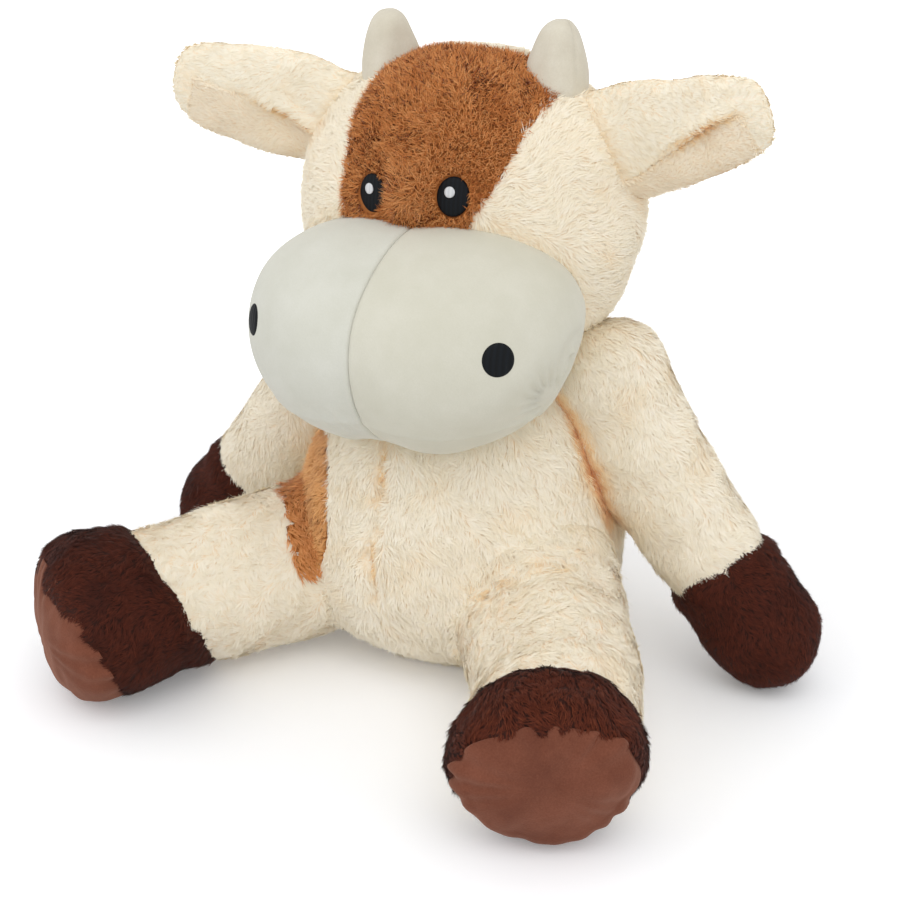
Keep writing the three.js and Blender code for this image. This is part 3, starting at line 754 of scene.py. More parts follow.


# Its deepest, orange stops are the colour that painted shade in the creases lowers a strand's tone to.
CREAM = PileFinish("acrylic_pile_cream", Slot.CREAM, ("#D98C50", "#F2CF9C", "#F6EAD4", "#FAF3E6"),
                   ("#E8A66E", "#F5DAAC", "#F7F0DD", "#FBF7EE"), 0.05)
TAN = PileFinish("acrylic_pile_tan", Slot.TAN, ("#7A3E18", "#A25A2B", "#C47839"),
                 ("#A85B2A", "#CC8043", "#E8A86C"), 0.2)
TAN_FLANK = PileFinish("acrylic_pile_tan_flank", Slot.TAN, ("#84481C", "#B46E34", "#D2924E"),
                       ("#B06C32", "#D69454", "#ECB87C"), 0.2)
BROWN = PileFinish("acrylic_pile_brown", Slot.BROWN, ("#2A130C", "#3C1B12", "#4E2618"),
                   ("#421A0F", "#602916", "#8C4A2C"), 0.15, sheen=0.06)
# The ears' cream pile, with roots as pale as the tips: painted light in place of the light that comes through the
# strands at the ears' rims.
EAR_CREAM = PileFinish("acrylic_pile_cream_ear", Slot.CREAM, ("#E8A66E", "#F5DAAC", "#F8F1DE", "#FBF7EE"),
                       ("#E8A66E", "#F5DAAC", "#F7F0DD", "#FBF7EE"), 0.05)
CREAM_KNIT = NapFinish("knit_backing_cream", ("#F3DDBC", "#F5E6CC", "#F8EEDC"), sheen=0.1)
TAN_KNIT = NapFinish("knit_backing_tan", ("#7F4A20", "#96592A", "#A96A36"), sheen=0.1)
BROWN_KNIT = NapFinish("knit_backing_brown", ("#2A130D", "#361911", "#422016"), sheen=0.1)
PALE_VELBOA = NapFinish("velboa_pale", ("#CBC9B9", "#CECCBD", "#D2D0C2"), sheen=0.2)
# The same velboa, cooler and a little paler: painted cool light for the right panel.
PALE_VELBOA_LIT = NapFinish("velboa_pale_brushed_up", ("#CBCBBF", "#CFCFC4", "#D3D3C9"), sheen=0.2)
HORN_VELBOA = NapFinish("velboa_horn", ("#CBC4B2", "#D0C9B8", "#D6D0C0"), brush_mm=16.0, sheen=0.2)
LINING_VELBOA = NapFinish("velboa_lining", ("#EBD5B4", "#F0DEC2", "#F3E6D0"), grain_mm=1.2, bump=0.2)
LINING_PILE = PileFinish("brushed_nap_lining", Slot.LINING, ("#E2AC74", "#F2D3A2", "#F5E6CB", "#F9EFDD"),
                         ("#EBBC8A", "#F4DBB0", "#F6EBD4", "#FAF2E4"), 0.04)
SOLE_VELBOA = NapFinish("velboa_sole", ("#643627", "#70402F", "#7D4A38"), brush_mm=30.0, grain_mm=0.9, bump=0.35,
                        sheen=0.25, tint="#E8B9A0")
FIBRE = NapFinish("polyester_fibre", ("#E9E9E6", "#F3F3F1", "#FAFAF9"), brush_mm=9.0, grain_mm=1.5, bump=0.4)
NAVY_STITCH = ThreadFinish("rayon_stitch_dark", "#070A0E", "#0C1117", thread_mm=0.4)
PALE_STITCH = ThreadFinish("rayon_stitch_pale", "#C6C8CB", "#D6D8DA", thread_mm=0.35)


class Finishes:
    """Makes each finish once and hands it out."""

    def __init__(self) -> None:
        """Starts with none made."""
        self.made: dict[str, bpy.types.Material] = {}

    def of(self, finish: PileFinish | NapFinish | ThreadFinish) -> bpy.types.Material:
        """The Blender material of a finish."""
        if finish.name not in self.made:
            self.made[finish.name] = finish.make()
        return self.made[finish.name]


# The cow's forms


@dataclass(frozen=True)
class Shapes:
    """The model's forms, from the same shares and sizes as its source."""

    torso: Form
    head: Form
    muzzle: Form
    arms: dict[Side, Form]
    legs: dict[Side, Form]
    ears: dict[Side, Form]
    tail: Form

    @classmethod
    def of_the_cow(cls) -> "Shapes":
        """Every form in its place."""
        torso_rows = share_rows(
            (0, 0), (0.001, 0.5, 0.44, 0.5), (0.05, 0.76, 0.68, 0.74), (0.16, 0.93, 0.91, 0.92), (0.3, 1),
            (0.46, 0.98, 0.99, 1), (0.62, 0.89, 0.91, 0.94), (0.77, 0.76, 0.78, 0.83), (0.9, 0.55, 0.57, 0.62),
            (0.98, 0.27, 0.28, 0.3), (1, 0),
        )
        head_rows = share_rows(
            (0, 0), (0.02, 0.32), (0.1, 0.66), (0.24, 0.88, 0.9, 0.88), (0.42, 1, 1, 0.99), (0.6, 0.98, 0.98, 1),
            (0.77, 0.86, 0.88, 0.9), (0.9, 0.63, 0.66, 0.68), (0.98, 0.3, 0.33, 0.34), (1, 0),
        )
        muzzle_half = share_rows(
            (0, 0), (0.012, 0.28), (0.06, 0.6, 0.53, 0.6), (0.14, 0.82, 0.74, 0.82), (0.26, 0.96, 0.93, 0.96),
            (0.38, 1, 1.01, 1),
        )
        muzzle_rows = (*muzzle_half, (0.5, 0.965, 0.985, 1), *((1 - a, x, f, b) for a, x, f, b in muzzle_half[::-1]))
        arm_rows = share_rows(
            (0, 0), (0.02, 0.5, 0.42), (0.09, 0.92, 0.8), (0.2, 1.1, 0.98), (0.36, 1.04, 0.97), (0.54, 0.95, 0.94),
            (0.7, 0.98, 0.97), (0.83, 1), (0.93, 0.78, 0.8), (0.985, 0.38, 0.4), (1, 0),
        )
        leg_rows = share_rows(
            (0, 0), (0.02, 0.4), (0.1, 0.76), (0.22, 0.88, 0.86, 0.88), (0.4, 0.86, 0.85, 0.9),
            (0.58, 0.85, 0.84, 0.88), (0.7, 0.92), (0.8, 1), (0.88, 1, 1.02, 1), (0.95, 0.87, 0.88, 0.84),
            (0.99, 0.5), (1, 0),
        )
        ear_rows = {
            Side.RIGHT: share_rows(
                (0, 0), (0.03, 0.5), (0.14, 0.78, 0.85), (0.34, 1), (0.56, 0.98, 0.94), (0.76, 0.88, 0.85),
                (0.92, 0.66, 0.62), (0.985, 0.35, 0.32), (1, 0),
            ),
            Side.LEFT: share_rows(
                (0, 0), (0.03, 0.5), (0.14, 0.82, 0.85), (0.34, 0.95, 1), (0.56, 0.86, 0.94), (0.76, 0.75, 0.85),
                (0.92, 0.6), (0.985, 0.38, 0.34), (1, 0),
            ),
        }
        tail_rows = share_rows(
            (0, 0), (0.03, 0.42), (0.12, 0.6), (0.35, 0.56), (0.58, 0.62), (0.74, 0.95), (0.86, 1), (0.96, 0.6),
            (1, 0),
        )
        across_muzzle = np.array([[0, 0, 1], [0, 1, 0], [-1, 0, 0]], float)
        arm_way, ear_way, tail_way = aim(90, -51), aim(66, 10), aim(180, -32)
        ear_back = turned(AXIS_Y, ear_way, np.radians(12.0))
        arms, legs, ears = {}, {}, {}
        for side, out in ((Side.LEFT, 27), (Side.RIGHT, 35)):
            mirror = side is Side.RIGHT
            arms[side] = resting(Form(arm_rows, 226, 36, 33, 33, -26, mirror=mirror,
                                      **placed(np.array([86, 10, 166.0]), arm_way, AXIS_Y)), 10, 9)
            legs[side] = resting(Form(leg_rows, 214, 52, 51, 49, -26, mirror=mirror,
                                      **placed(np.array([64, -46, 47.0]), aim(out, 0), -AXIS_Z)), 11, 9)
            ears[side] = Form(ear_rows[side], 121, 35, 13, 13, -16, mirror=mirror,
                              **placed(EAR_PIVOT, ear_way, ear_back))
        return cls(
            torso=Form(torso_rows, 202, 103, 106, 84, origin=np.array([0, -4, -FLAT_DEPTH])),
            head=Form(head_rows, 183, 98, 78, 82, origin=np.array([0, 10, 176.0])),
            muzzle=Form(muzzle_rows, 194, 64, 80, 60, -97, across_muzzle, np.array([0, -60, 212.05])),
            arms=arms, legs=legs, ears=ears,
            tail=Form(tail_rows, 82, 14, 14, 14, -8, **placed(TAIL_PIVOT, tail_way, AXIS_Y)),
        )

    @staticmethod
    def near(points: Array, others: list[Form]) -> Array:
        """The deepest that points lie in any of these forms."""
        return np.max([form.depth(points) for form in others], 0)

    def swell(self, side: Side, points: Array) -> Array:
        """How much fuller a leg is stuffed at its thigh, at points, in millimetres."""
        form = self.legs[side]
        share = form.share_along(points)
        outward = form.turn(unit(form.to_local(points) * [1, 1, 0]))
        fuller = smooth(share, 0.0, 0.22) * (1 - smooth(share, 0.42, 0.74))
        return THIGH_HEIGHT * fuller * smooth(outward @ unit(THIGH[side]), -0.3, 0.9)

    def reach(self, side: Side, points: Array) -> Array:
        """How widely a leg runs into the body at points, in millimetres: least between the legs."""
        leg = self.legs[side]
        outward = leg.turn(unit(leg.to_local(points) * [1, 1, 0]))
        return THIGH_FILLET[side] * (1 - 0.75 * smooth(outward @ leg.turn(AXIS_X), -0.1, 0.75))

    def joined(self, side: Side, points: Array, normals: Array) -> Array:
        """How far the body's or a leg's skin moves out so that both lie on one face where the leg is sewn on.

        Args:
            side: The leg.
            points: Points of either skin.
            normals: Their normals.

        Returns:
            The distances in millimetres, 0 away from the seam and deep inside the other form.
        """
        leg = self.legs[side]
        moved = np.zeros(len(points))
        near = np.abs(self.torso.depth(points) - leg.depth(points) - self.swell(side, points)) < 2 * THIGH_FILLET[side]
        for _ in range(STEPS_TO_JOIN):
            place = points[near] + normals[near] * moved[near, None]
            body, limb = self.torso.depth(place), leg.depth(place) + self.swell(side, place)
            reach = self.reach(side, place)
            overlap = np.maximum(reach - np.abs(body - limb), 0) / reach
            level = np.maximum(body, limb) + overlap**2 * reach / 4
            moved[near] = np.clip(moved[near] + level - PILE_INSET, 0.0, reach / 4 + 3.0)
        inner = np.minimum(self.torso.depth(points), leg.depth(points) + self.swell(side, points))
        return moved * (1 - smooth(inner, PILE_INSET + 3.0, PILE_INSET + 14.0)) * near

    @staticmethod
    def rumpled(points: Array) -> Array:
        """How rumpled the pile is over the left leg's root, from 0 to 1."""
        start, way = RUMPLE[0], RUMPLE[1] - RUMPLE[0]
        along = np.clip((points - start) @ way / (way @ way), 0, 1)
        gap = np.linalg.norm(points - start - along[:, None] * way, axis=1)
        return np.exp(-((gap / RUMPLE_WIDTH) ** 2))

    def marks(self, points: Array) -> Array:
        """The small ridges in the rumpled pile, from -1 to 1."""
        return np.sin(points @ PICTURE_UP / 1.1 + 1.5 * waves(points, 20.0, 12)) * self.rumpled(points)

    def rumple_shade(self, points: Array) -> Array:
        """How much deeper the rumpled pile's tone is."""
        return RUMPLE_SHADE * self.rumpled(points) * smooth(waves(points, 7.0, 19), -0.6, 0.9)

    @staticmethod
    def fillet(points: Array, others: list[Form], reach: float) -> Array:
        """How far a skin stands out so that it runs smoothly into these forms, from reach millimetres away."""
        gap = np.min([np.abs(form.depth(points)) for form in others], 0)
        return reach / 4 * np.clip(1 - gap / reach, 0, 1) ** 2


@dataclass
class Workshop:
    """What every sub-assembly needs: the frame, the forms and the finishes."""

    frame: dict
    shapes: Shapes
    finishes: Finishes = field(default_factory=Finishes)
    made: int = 0

    def settle(
        self, piece: bpy.types.Object, slot: Slot, nodes: list[str], body: str = "", bend: Optional[Bend] = None,
        padding: float = 0.0,
    ) -> None:
        """Hangs a piece on the body that it rides on, or leaves it where it is, and hides the CAD nodes that it stands
        for.

        Args:
            piece: The finished piece.
            slot: The record's material slot. It is not used.
            nodes: The CAD nodes that it stands for.
            body: The body that it rides on.
            bend: The two bodies and the two points that it would bend between; with one, it stays where it is instead
                of riding.
            padding: How full its stuffing is, up to 1, or 0 for a piece that isn't stuffed. It is not used.
        """
        if bend is None:
            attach(piece, body)
        else:
            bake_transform(piece)
        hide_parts(*nodes)
        self.made += 1
        LOG.info("%s: %d faces", piece.name, len(piece.data.polygons))

    def dress(self, piece: bpy.types.Object, *finishes: PileFinish | NapFinish | ThreadFinish) -> None:
        """Gives a piece its materials in order."""
        for finish in finishes:
            piece.data.materials.append(self.finishes.of(finish))

    def pile(
        self, strands: Strands, finish: PileFinish, node_name: str, body: str = "", bend: Optional[Bend] = None
    ) -> None:
        """Makes the pile of a CAD node, and dresses and settles it."""
        pile = strands.build()
        self.dress(pile, finish)
        self.settle(pile, finish.slot, [node_name], body, bend)

    def fill(self, name: str, forms: list[Form], body: str, sculpt: Optional[Field] = None) -> None:
        """Fills the space inside these forms with fibre."""
        parts = [stuffed(f"{name}_fibre", form, 48, 40, FILL_INSET, sculpt) for form in forms]
        bpy.ops.object.select_all(action="DESELECT")
        for part in parts:
            part.select_set(True)
        bpy.context.view_layer.objects.active = parts[0]
        if len(parts) > 1:
            bpy.ops.object.join()
        self.dress(parts[0], FIBRE)
        self.settle(parts[0], Slot.FIBRE, [f"{name}_stuffing"], body, padding=0.8)

    def back(self, skin: bpy.types.Object, panels: Panels, knits: dict[str, NapFinish]) -> None:
        """Colours a skin's faces by the panel that each belongs to."""
        owner = panels.of(face_centres(skin))
        used = list(dict.fromkeys(knits[n] for n in panels.nodes))
        self.dress(skin, *used)
        slots = np.array([used.index(knits[n]) for n in panels.nodes], np.int32)
        skin.data.polygons.foreach_set("material_index", slots[owner])


FLANK_PILE = Coat(length=7.5, lean=50.0, fall=78.0, lift=7.0, relief=0.25, tone=0.8, streaks=0.12)
TORSO_NODES = ["body_front_left", "body_front_right", "body_back_left", "body_back_right", "flank_patch",
               "seat_panel"]


@dataclass
class Torso:
    """The belly, back and seat panels with a flank patch, over one stuffed body."""

    shop: Workshop
    coat: Coat = Coat()
    seat: Coat = Coat(per_cm2=40.0, length=5.0)
    groove: float = 6.0  # how deep the belly's centre fold is
    rumple: float = 0.9  # how high the gathers over the legs stand
    ridges: float = 1.3  # and the ridges in the rumpled pile

    @staticmethod
    def seam(points: Array) -> Array:
        """How far points of the belly lie to the left of its wavy centre seam."""
        return points[:, 0] + 7.4 - 1.4 * np.sin(points[:, 2] / 9.0 + 1.0) - 0.9 * np.sin(points[:, 2] / 5.1)

    def fold(self, points: Array) -> Array:
        """How much of the belly's centre fold is at each point, from 0 to 1: it comes and goes."""
        y, z = points[:, 1], points[:, 2]
        along = 0.7 + 0.3 * np.sin(z / 11.0) * np.sin(z / 4.7 + 2.0)
        return np.exp(-((self.seam(points) / 5.0) ** 2)) * smooth(-y, 20, 60) * along * smooth(z, 50, 76)

    def crease(self, points: Array) -> Array:
        """How near points are to where a leg meets the body, from 0 to 1."""
        legs = list(self.shop.shapes.legs.values())
        return smooth(self.shop.shapes.near(points, legs), -22.0, 0.0)

    def sculpt(self, points: Array, normals: Array) -> Array:
        """The belly's centre fold, the gathers over the legs, and the fill's slight lumps."""
        near, shapes = self.crease(points), self.shop.shapes
        gathers = np.sin(points[:, 0] / 3.4 + 1.4 * waves(points, 24.0, 6)) * near * smooth(points[:, 2], 50, 80)
        lumps = 0.9 * waves(points, 46.0, 3) + 0.4 * waves(points, 13.0, 4) - 0.4 - self.groove * self.fold(points)
        legs = [shapes.joined(side, points, normals) for side in Side]
        return lumps + np.max(legs, 0) + self.rumple * gathers + self.ridges * shapes.marks(points)

    def comb(self, points: Array) -> Array:
        """The pile falls, and lies rumpled over the left leg."""
        flow = everywhere(DOWN_THE_BODY, points)
        flow[:, 0] += 0.3 * np.sign(points[:, 0])
        return flow + self.shop.shapes.rumpled(points)[:, None] * ruffle(points)

    def build(self) -> None:
        """Makes the body's skin and the piles of its panels."""
        shop, shapes = self.shop, self.shop.shapes
        panels = Panels(shop.frame, TORSO_NODES)
        skin = stuffed("body_fabric", shapes.torso, *BODY_MESH, PILE_INSET, self.sculpt)
        shop.back(skin, panels, {n: CREAM_KNIT for n in TORSO_NODES} | {"flank_patch": TAN_KNIT})
        shop.settle(skin, Slot.CREAM, TORSO_NODES, "torso", padding=0.85)
        roots = Roots.on(skin, self.coat.per_cm2, 11)
        others = [shapes.head, *shapes.arms.values(), *shapes.legs.values()]
        roots = roots.where(shapes.near(roots.points, others) < 7.0)
        by_arm = smooth(shapes.near(roots.points, list(shapes.arms.values())), -13.0, 2.0)
        owner = panels.of(roots.points)
        rng = np.random.default_rng(5)
        for index, name in enumerate(TORSO_NODES):
            tan = name == "flank_patch"
            coat = {"flank_patch": FLANK_PILE, "seat_panel": self.seat}.get(name, self.coat)
            chosen = thinned(rng, owner == index, coat, self.coat)
            some = roots.where(chosen)
            fold, near = self.fold(some.points), self.crease(some.points)
            patchy = smooth(waves(some.points, 16.0, 9), -0.4, 1.0)
            # Painted shade in the belly's fold, round the legs, in the crease under the arm and in the rumpled pile.
            shade = -(0.26 + 0.5 * patchy) * fold**1.5 - 0.12 * near**2 * patchy
            shade -= 0.72 * by_arm[chosen] * front_crease_shade(some.points) + shapes.rumple_shade(some.points)
            growth = 1 - 0.6 * fold - (0.45 * near if tan else 0.0)
            strands = Strands(f"{name}_pile", some, coat, self.comb(some.points), 20 + index, growth, shade)
            shop.pile(strands, TAN_FLANK if tan else CREAM, name, "torso")


@dataclass
class Head:
    """The head's sides, back gusset and forehead patch, over one stuffed form."""

    shop: Workshop
    coat: Coat = Coat(tone=0.68)
    forehead: Coat = Coat(per_cm2=215.0, length=4.6, width=0.56, lean=16.0, fall=50.0, lift=12.0, twist=45.0, tuft=1.8,
                          gather=0.6, stray=60.0, swirl=90.0, relief=0.24, tone=0.6, streaks=0.22, blotch=0.3)
    brow: float = 6.0  # how far the fur between the eyes bulges
    cheek: float = 9.0  # how much fuller the right cheek is stuffed
    jowl: float = 4.5  # and the left one, low down

    @staticmethod
    def between(points: Array) -> Array:
        """How much points lie between the eyes, from 0 to 1."""
        beside = np.exp(-(((points[:, 0] + 2.0) / 12.0) ** 6)) * smooth(-points[:, 1], 10, 40)
        return beside * np.exp(-(((points[:, 2] - EYE_HEIGHT[Side.LEFT]) / 17.0) ** 2))

    def over_eye(self, points: Array) -> Array:
        """Whether points lie over an eye, apart from the side where the fur leans over it."""
        beside = points[:, 0] - by_side(points, EYE_ACROSS)
        return (self.eye_gap(points) < EYE_EDGE) & (beside < by_side(points, EYE_LEAN))

    def sculpt(self, points: Array, normals: Array) -> Array:
        """The fill's slight lumps, and the bulge between the eyes."""
        shapes = self.shop.shapes
        cheek = smooth(-normals[:, 0], 0.1, 0.95) * smooth(points[:, 2], 185, 235) * smooth(-points[:, 2], -330, -280)
        jowl = smooth(normals @ np.array([0.85, 0.2, -0.46]), 0.35, 0.95) * smooth(-points[:, 1], -40, 0)
        bulges = self.cheek * cheek + self.jowl * jowl + self.brow * self.between(points)
        return 0.7 * waves(points, 42.0, 8) - 0.3 + bulges + shapes.fillet(points, list(shapes.ears.values()), 20.0)

    def comb(self, points: Array) -> Array:
        """The pile runs away from the muzzle and falls, and leans over the inner side of the right eye."""
        away = unit(points - np.array([0, -60, 230.0])) + np.array([0, 0.15, -0.55])
        away[:, 0] += 2.2 * self.between(points) * np.sign(points[:, 0] - 4.0)
        return away

    @staticmethod
    def eye_gap(points: Array) -> Array:
        """How far points lie from the nearer eye's edge, as a share of its size. It is negative on the eye."""
        across, up = points[:, 0] - by_side(points, EYE_ACROSS), points[:, 2] - by_side(points, EYE_HEIGHT)
        return np.where(points[:, 1] < 0, np.hypot(across / 9.0, up / 10.4) - 1, 9.0)

    def build(self) -> None:
        """Makes the head's skin and the piles of its panels."""
        shop, shapes = self.shop, self.shop.shapes
        nodes = ["head_side_left", "head_side_right", "head_back_gusset", "forehead_patch"]
        panels = Panels(shop.frame, nodes)
        skin = stuffed("head_fabric", shapes.head, *BODY_MESH, PILE_INSET, self.sculpt)
        shop.back(skin, panels, {n: CREAM_KNIT for n in nodes} | {"forehead_patch": TAN_KNIT})
        shop.settle(skin, Slot.CREAM, nodes, "head", padding=0.85)
        shop.fill("head", [shapes.head, shapes.muzzle], "head")
        roots = Roots.on(skin, self.forehead.per_cm2, 12)
        inside = shapes.near(roots.points, [shapes.torso, *shapes.ears.values()])
        keep = (inside < 7.0) & (shapes.muzzle.depth(roots.points) < 3.0) & (self.eye_gap(roots.points) > EYE_EDGE)
        roots, inside = roots.where(keep), inside[keep]
        owner = panels.of(roots.points)
        rng = np.random.default_rng(6)
        for index, name in enumerate(nodes):
            tan = name == "forehead_patch"
            coat = self.forehead if tan else self.coat
            chosen = thinned(rng, owner == index, coat, self.forehead)
            some = roots.where(chosen)
            near_muzzle, between = smooth(shapes.muzzle.depth(some.points), -10.0, 2.0), self.between(some.points)
            shade = -0.14 * smooth(inside[chosen], -9.0, 3.0)
            shade += 0.12 * between if tan else -0.08 * near_muzzle
            growth = 1 + 1.1 * between - (0.0 if tan else 0.3) * near_muzzle
            comb = self.comb(some.points) - 1.6 * near_muzzle[:, None] * AXIS_Z
            strands = Strands(f"{name}_pile", some, coat, comb, 30 + index, growth, shade, self.over_eye)
            shop.pile(strands, TAN if tan else CREAM, name, "head")


@dataclass
class Muzzle:
    """Two smooth panels that meet in a centre seam, and the embroidered nostrils."""

    shop: Workshop
    seam_depth: float = 1.3
    seam_width: float = 1.3
    parting: float = 0.12  # how far each panel ends from the middle
    nostril_radius: float = 8.6
    nostril_centre: Array = field(default_factory=lambda: np.array([58.2, -96.7, 222.9]))
    corner: Array = field(default_factory=lambda: np.array([99.0, -80.0, 188.0]))  # where the left panel is gathered
    tuck: float = 9.0  # how far that corner is drawn in

    def sculpt(self, points: Array, normals: Array) -> Array:
        """The centre seam, the gathers along the lower seam and the welt there."""
        x, y, z = points.T
        groove = np.exp(-((x / self.seam_width) ** 2)) * self.seam_depth
        fill_in = 2.3 * np.exp(-((x / 15.0) ** 2)) * smooth(normals[:, 2], -0.3, 0.5)
        flat = -2.6 * smooth(normals[:, 2], 0.45, 0.95)
        beside = np.exp(-(((z - 172.0) / 14.0) ** 2)) * np.exp(-(((x + 15.0) / 12.0) ** 2)) * smooth(-y, 60, 90)
        place = points - self.corner
        over, up = -(place @ PICTURE_RIGHT), place @ PICTURE_UP
        radius = np.hypot(over, up)
        fan = np.exp(-(((radius - 15.0) / 11.0) ** 2)) * smooth(radius, 5, 14)
        fan *= smooth(x, 50, 70) * smooth(-y, 40, 60)
        tuck = smooth(normals @ unit(0.75 * PICTURE_RIGHT - 0.66 * PICTURE_UP), 0.5, 1.0)
        gathers = 0.7 * beside * np.sin((x + 0.7 * z) / 1.5)
        gathers += 0.9 * fan * np.sin(20 * np.arctan2(up, over) + waves(points, 30, 2)) - self.tuck * tuck
        welt = 0.9 * np.exp(-(((normals[:, 2] + 0.62) / 0.035) ** 2)) * smooth(-y, 50, 80)
        return fill_in + flat - groove + gathers + welt + 0.3 * waves(points, 60.0, 17)

    def build(self) -> None:
        """Makes the two panels and the nostrils."""
        shop, form = self.shop, self.shop.shapes.muzzle
        for side in Side:
            name = f"muzzle_{side.value}"
            panel = stuffed(name + "_velboa", form, 176, 176, 0.5, self.sculpt)
            cut_at(panel, self.parting * side.sign * AXIS_X, side.sign * AXIS_X)
            # The right panel takes the copy with painted cool light.
            shop.dress(panel, PALE_VELBOA if side is Side.LEFT else PALE_VELBOA_LIT)
            shop.settle(panel, Slot.PALE, [name], "head", padding=0.9)
            self.nostril(side, panel)

    def nostril(self, side: Side, panel: bpy.types.Object) -> None:
        """Makes one satin-stitched nostril that lies on its panel."""
        facing = aim(40, 0) * [side.sign, 1, 1]
        centre = self.nostril_centre * [side.sign, 1, 1]
        stitch_patch(self.shop, f"nostril_{side.value}", surface_of(panel), centre, facing,
                     (self.nostril_radius, self.nostril_radius), 0.9, NAVY_STITCH, Slot.DARK_THREAD)


def stitch_patch(
    shop: Workshop, name: str, tree: BVHTree, centre: Array, facing: Array, size: tuple[float, float],
    height: float, finish: ThreadFinish, slot: Slot, lift: float = 0.0,
) -> bpy.types.Object:
    """An oval of satin stitch, laid on a surface.

    Args:
        shop: The workshop.
        name: The node that the patch stands for.
        tree: The surface that it lies on, in metres.
        centre: A point behind the patch, on the line that it is projected along.
        facing: The way that it faces.
        size: Its half width and half height.
        height: How far its middle stands up.
        finish: Its thread.
        slot: The record's material slot.
        lift: How far its edge stands off the surface.

    Returns:
        The patch.
    """
    bpy.ops.object.select_all(action="DESELECT")
    bpy.ops.mesh.primitive_circle_add(vertices=64, radius=1.0, fill_type="NOTHING")
    patch = bpy.context.active_object
    patch.name = patch.data.name = name + "_stitch"
    bpy.ops.object.mode_set(mode="EDIT")
    bpy.ops.mesh.select_all(action="SELECT")
    rings = 15.999  # just under 16, so that the innermost ring isn't a point yet
    for step in range(15):
        bpy.ops.mesh.extrude_region_move()
        bpy.ops.transform.resize(value=[(rings - 1 - step) / (rings - step)] * 3)
    bpy.ops.mesh.merge(type="CENTER")
    bpy.ops.object.mode_set(mode="OBJECT")
    in_order(patch.data)
    disc = coordinates(patch) * MM
    across = unit(np.cross(AXIS_Z, facing))
    radius = np.hypot(disc[:, 0], disc[:, 1])
    stand = facing * 60  # rays start this far in front of the centre
    places = []
    for (x, y, _), r in zip(disc, radius):
        start = centre + across * x * size[0] + AXIS_Z * y * size[1] + stand
        hit = tree.ray_cast(Vector(start * MM), Vector(-facing))
        dome = lift + height * math.sqrt(max(0.0, 1 - r**3))
        edge = 0.06 * math.sin(62 * math.atan2(y, x)) * r**6
        spot = np.array(hit[0]) / MM if hit[0] is not None else start - stand
        places.append(spot + np.array(hit[1] if hit[1] is not None else facing) * dome + across * edge * x)
    set_coordinates(patch, np.array(places))
    if patch.data.polygons[0].normal.dot(Vector(facing)) < 0:
        patch.data.flip_normals()
    thicken(patch, 1.2)
    patch.data.shade_smooth()
    shop.dress(patch, finish)
    shop.settle(patch, slot, [name], "head")
    return patch


@dataclass
class Eyes:
    """Satin-stitched eyes with pale highlights on the forehead patch."""

    shop: Workshop
    size: tuple[float, float] = (8.9, 10.4)

    def build(self) -> None:
        """Makes both eyes and their highlights."""
        outer = stuffed("eye_ground", self.shop.shapes.head, *BODY_MESH, 1.6)
        tree = surface_of(outer)
        for side in Side:
            centre = np.array([EYE_ACROSS[side], -20.0, EYE_HEIGHT[side]])
            eye = stitch_patch(self.shop, f"eye_{side.value}", tree, centre, -AXIS_Y, self.size, 1.3,
                               NAVY_STITCH, Slot.DARK_THREAD)
            stitch_patch(self.shop, f"eye_highlight_{side.value}", surface_of(eye), centre + [-1.5, 0, 2.5],
                         -AXIS_Y, (2.9, 2.9), 0.5, PALE_STITCH, Slot.PALE_THREAD, 0.05)
        bpy.data.objects.remove(outer)


@dataclass
class Horns:
    """Two soft cones of smooth fabric with a seam up the side."""

    shop: Workshop

    def build(self) -> None:
        """Makes both horns."""
        rows = share_rows(
            (0, 0), (0.002, 0.8), (0.03, 1), (0.38, 0.97), (0.66, 0.8), (0.88, 0.58), (0.985, 0.28), (1, 0),
        )
        for side in Side:
            form = Form(rows, 57, 19, 19, 19, mirror=side is Side.RIGHT,
                        **placed(np.array([49, 4, 318.0]), aim(90, 86), AXIS_Y))

            def sculpt(points: Array, normals: Array, form: Form = form) -> Array:
                """The side seam and a few soft dents."""
                local = form.to_local(points)
                seam = np.exp(-((np.arctan2(local[:, 1], local[:, 0]) + 0.5) / 0.06) ** 2)
                return 0.7 * waves(points, 22.0, 41) - 0.8 * seam

            horn = stuffed(f"horn_{side.value}_velboa", form, 64, 48, 0.3, sculpt)
            self.shop.dress(horn, HORN_VELBOA)
            self.shop.settle(horn, Slot.PALE, [f"horn_{side.value}_cover"], "head", padding=0.8)


@dataclass(frozen=True)
class EarFold:
    """Where an ear's upper half folds over its lining, along the ear as shares of its length."""

    start: float
    deepest: float
    end: float
    line: tuple[tuple[float, ...], tuple[float, ...]]  # shares along, and the places across from -1, up, to 1, down
    raised: float  # how much higher the tip is than the model's, because the fold stiffens it
    longer: float  # and how much further out

    def depth(self, along: Array) -> Array:
        """How deep the fold is, from 0 to 1."""
        return smooth(along, self.start, self.deepest) * (1 - smooth(along, self.deepest, self.end))

    def below(self, along: Array, across: Array) -> Array:
        """How far a place lies below the fold's edge, as a share of the ear's half width."""
        return across - np.interp(along, *self.line)


